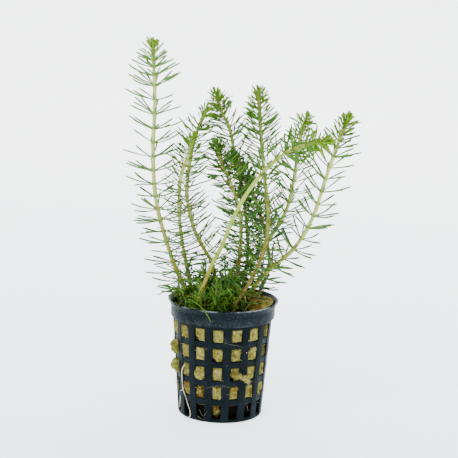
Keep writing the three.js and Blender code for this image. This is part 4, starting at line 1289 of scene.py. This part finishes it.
def root_pieces(material):
    t = np.linspace(0, 1, WHITE_ROOT_STATIONS)
    radii = (0.18 - 0.04 * t + 0.02 * np.sin(31 * t)) * MM
    points, faces = tubes(smooth_route(WHITE_ROOT, WHITE_ROOT_STATIONS)[None], radii[None], WHITE_ROOT_SIDES)
    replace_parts(make_piece("white_root_skin", points, faces, material, "root_white"), "white_root")
    thin = ("small_roots", SMALL_ROOTS, material), ("root_hairs", ROOT_HAIRS, hair_material())
    for name, kind, skin in thin:
        paths = np.array([smooth_route(route, ROOT_STATIONS) for _, route in kind])
        radii = np.array([[radius] for radius, _ in kind]) * np.linspace(1, ROOT_TAPER, ROOT_STATIONS) * MM
        make_piece(name, *tubes(paths, radii, ROOT_SIDES), skin, "root_white")
    shape, faces = balls(len(SPECKS))
    centres = on_wall([(azimuth, height, 0.05) for azimuth, height, _ in SPECKS])
    sizes = np.array([size for _, _, size in SPECKS])[:, None, None] * MM
    bumpy = shape * (1 + 0.3 * rough(shape, 0.9, 31))[:, None]
    points = (centres[:, None] + bumpy[None] * sizes).reshape(-1, 3)
    make_piece("white_specks", points, faces, material, "root_white")


# Stage, light and camera

def stage():
    """A pale floor that curves up into a backdrop behind the pot."""
    width, front, depth, rise, bend = 9, -9, 1.6, 2.2, 0.5
    turns = np.linspace(0, math.pi / 2, 24)
    arc = zip(depth - bend + bend * np.sin(turns), bend - bend * np.cos(turns))
    line = [(front, 0), *arc, (depth, rise)]
    points = [(x, y, z) for y, z in line for x in (-width, width)]
    faces = [(2 * i, 2 * i + 1, 2 * i + 3, 2 * i + 2) for i in range(len(line) - 1)]
    make_piece("backdrop", points, faces, stage_material())


def lights():
    for name, (place, aim, size, power) in LAMPS.items():
        light = bpy.data.lights.new(name, "AREA")
        light.shape = "RECTANGLE"
        light.size, light.size_y = size
        light.energy = power
        lamp = placed(name, light)
        lamp.location = place
        lamp.rotation_euler = (Vector(aim) - Vector(place)).to_track_quat("-Z", "Y").to_euler()
    world = bpy.data.worlds.new("studio")
    world.use_nodes = True
    world.node_tree.nodes["Background"].inputs[0].default_value = SKY
    world.node_tree.nodes["Background"].inputs[1].default_value = SKY_STRENGTH
    bpy.context.scene.world = world


def camera():
    back = Vector((0, -math.cos(CAMERA_ELEVATION), math.sin(CAMERA_ELEVATION)))
    right = Vector((1, 0, 0))
    up = back.cross(right)
    rolled_right = math.cos(CAMERA_ROLL) * right + math.sin(CAMERA_ROLL) * up
    rolled_up = -math.sin(CAMERA_ROLL) * right + math.cos(CAMERA_ROLL) * up
    data = bpy.data.cameras.new("camera")
    data.sensor_fit = "HORIZONTAL"
    data.sensor_width = SENSOR_WIDTH
    data.lens = CAMERA_LENS
    turn = Matrix((rolled_right, rolled_up, back)).transposed().to_4x4()
    bpy.context.scene.camera = placed("camera", data)
    bpy.context.scene.camera.matrix_world = Matrix.Translation(CAMERA_TARGET + back * CAMERA_DISTANCE) @ turn


def build():
    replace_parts(pot_piece(pot_material()), "net_pot")
    wool_pieces()
    leaf, mat_leaf = (leaf_material(name, *colours) for name, colours in LEAF_COLOURS.items())
    skins = {name: stem_material(name, *colours) for name, colours in SKINS.items()}
    for name in STEMS + SHOOTS:
        stem = read_stem(name)
        stem_piece(stem, skins)
        leaves_of_stem(stem, leaf)
    mat_pieces(mat_leaf, skins["shoot_stem"])
    root_pieces(root_material())


build()
stage()
lights()
camera()
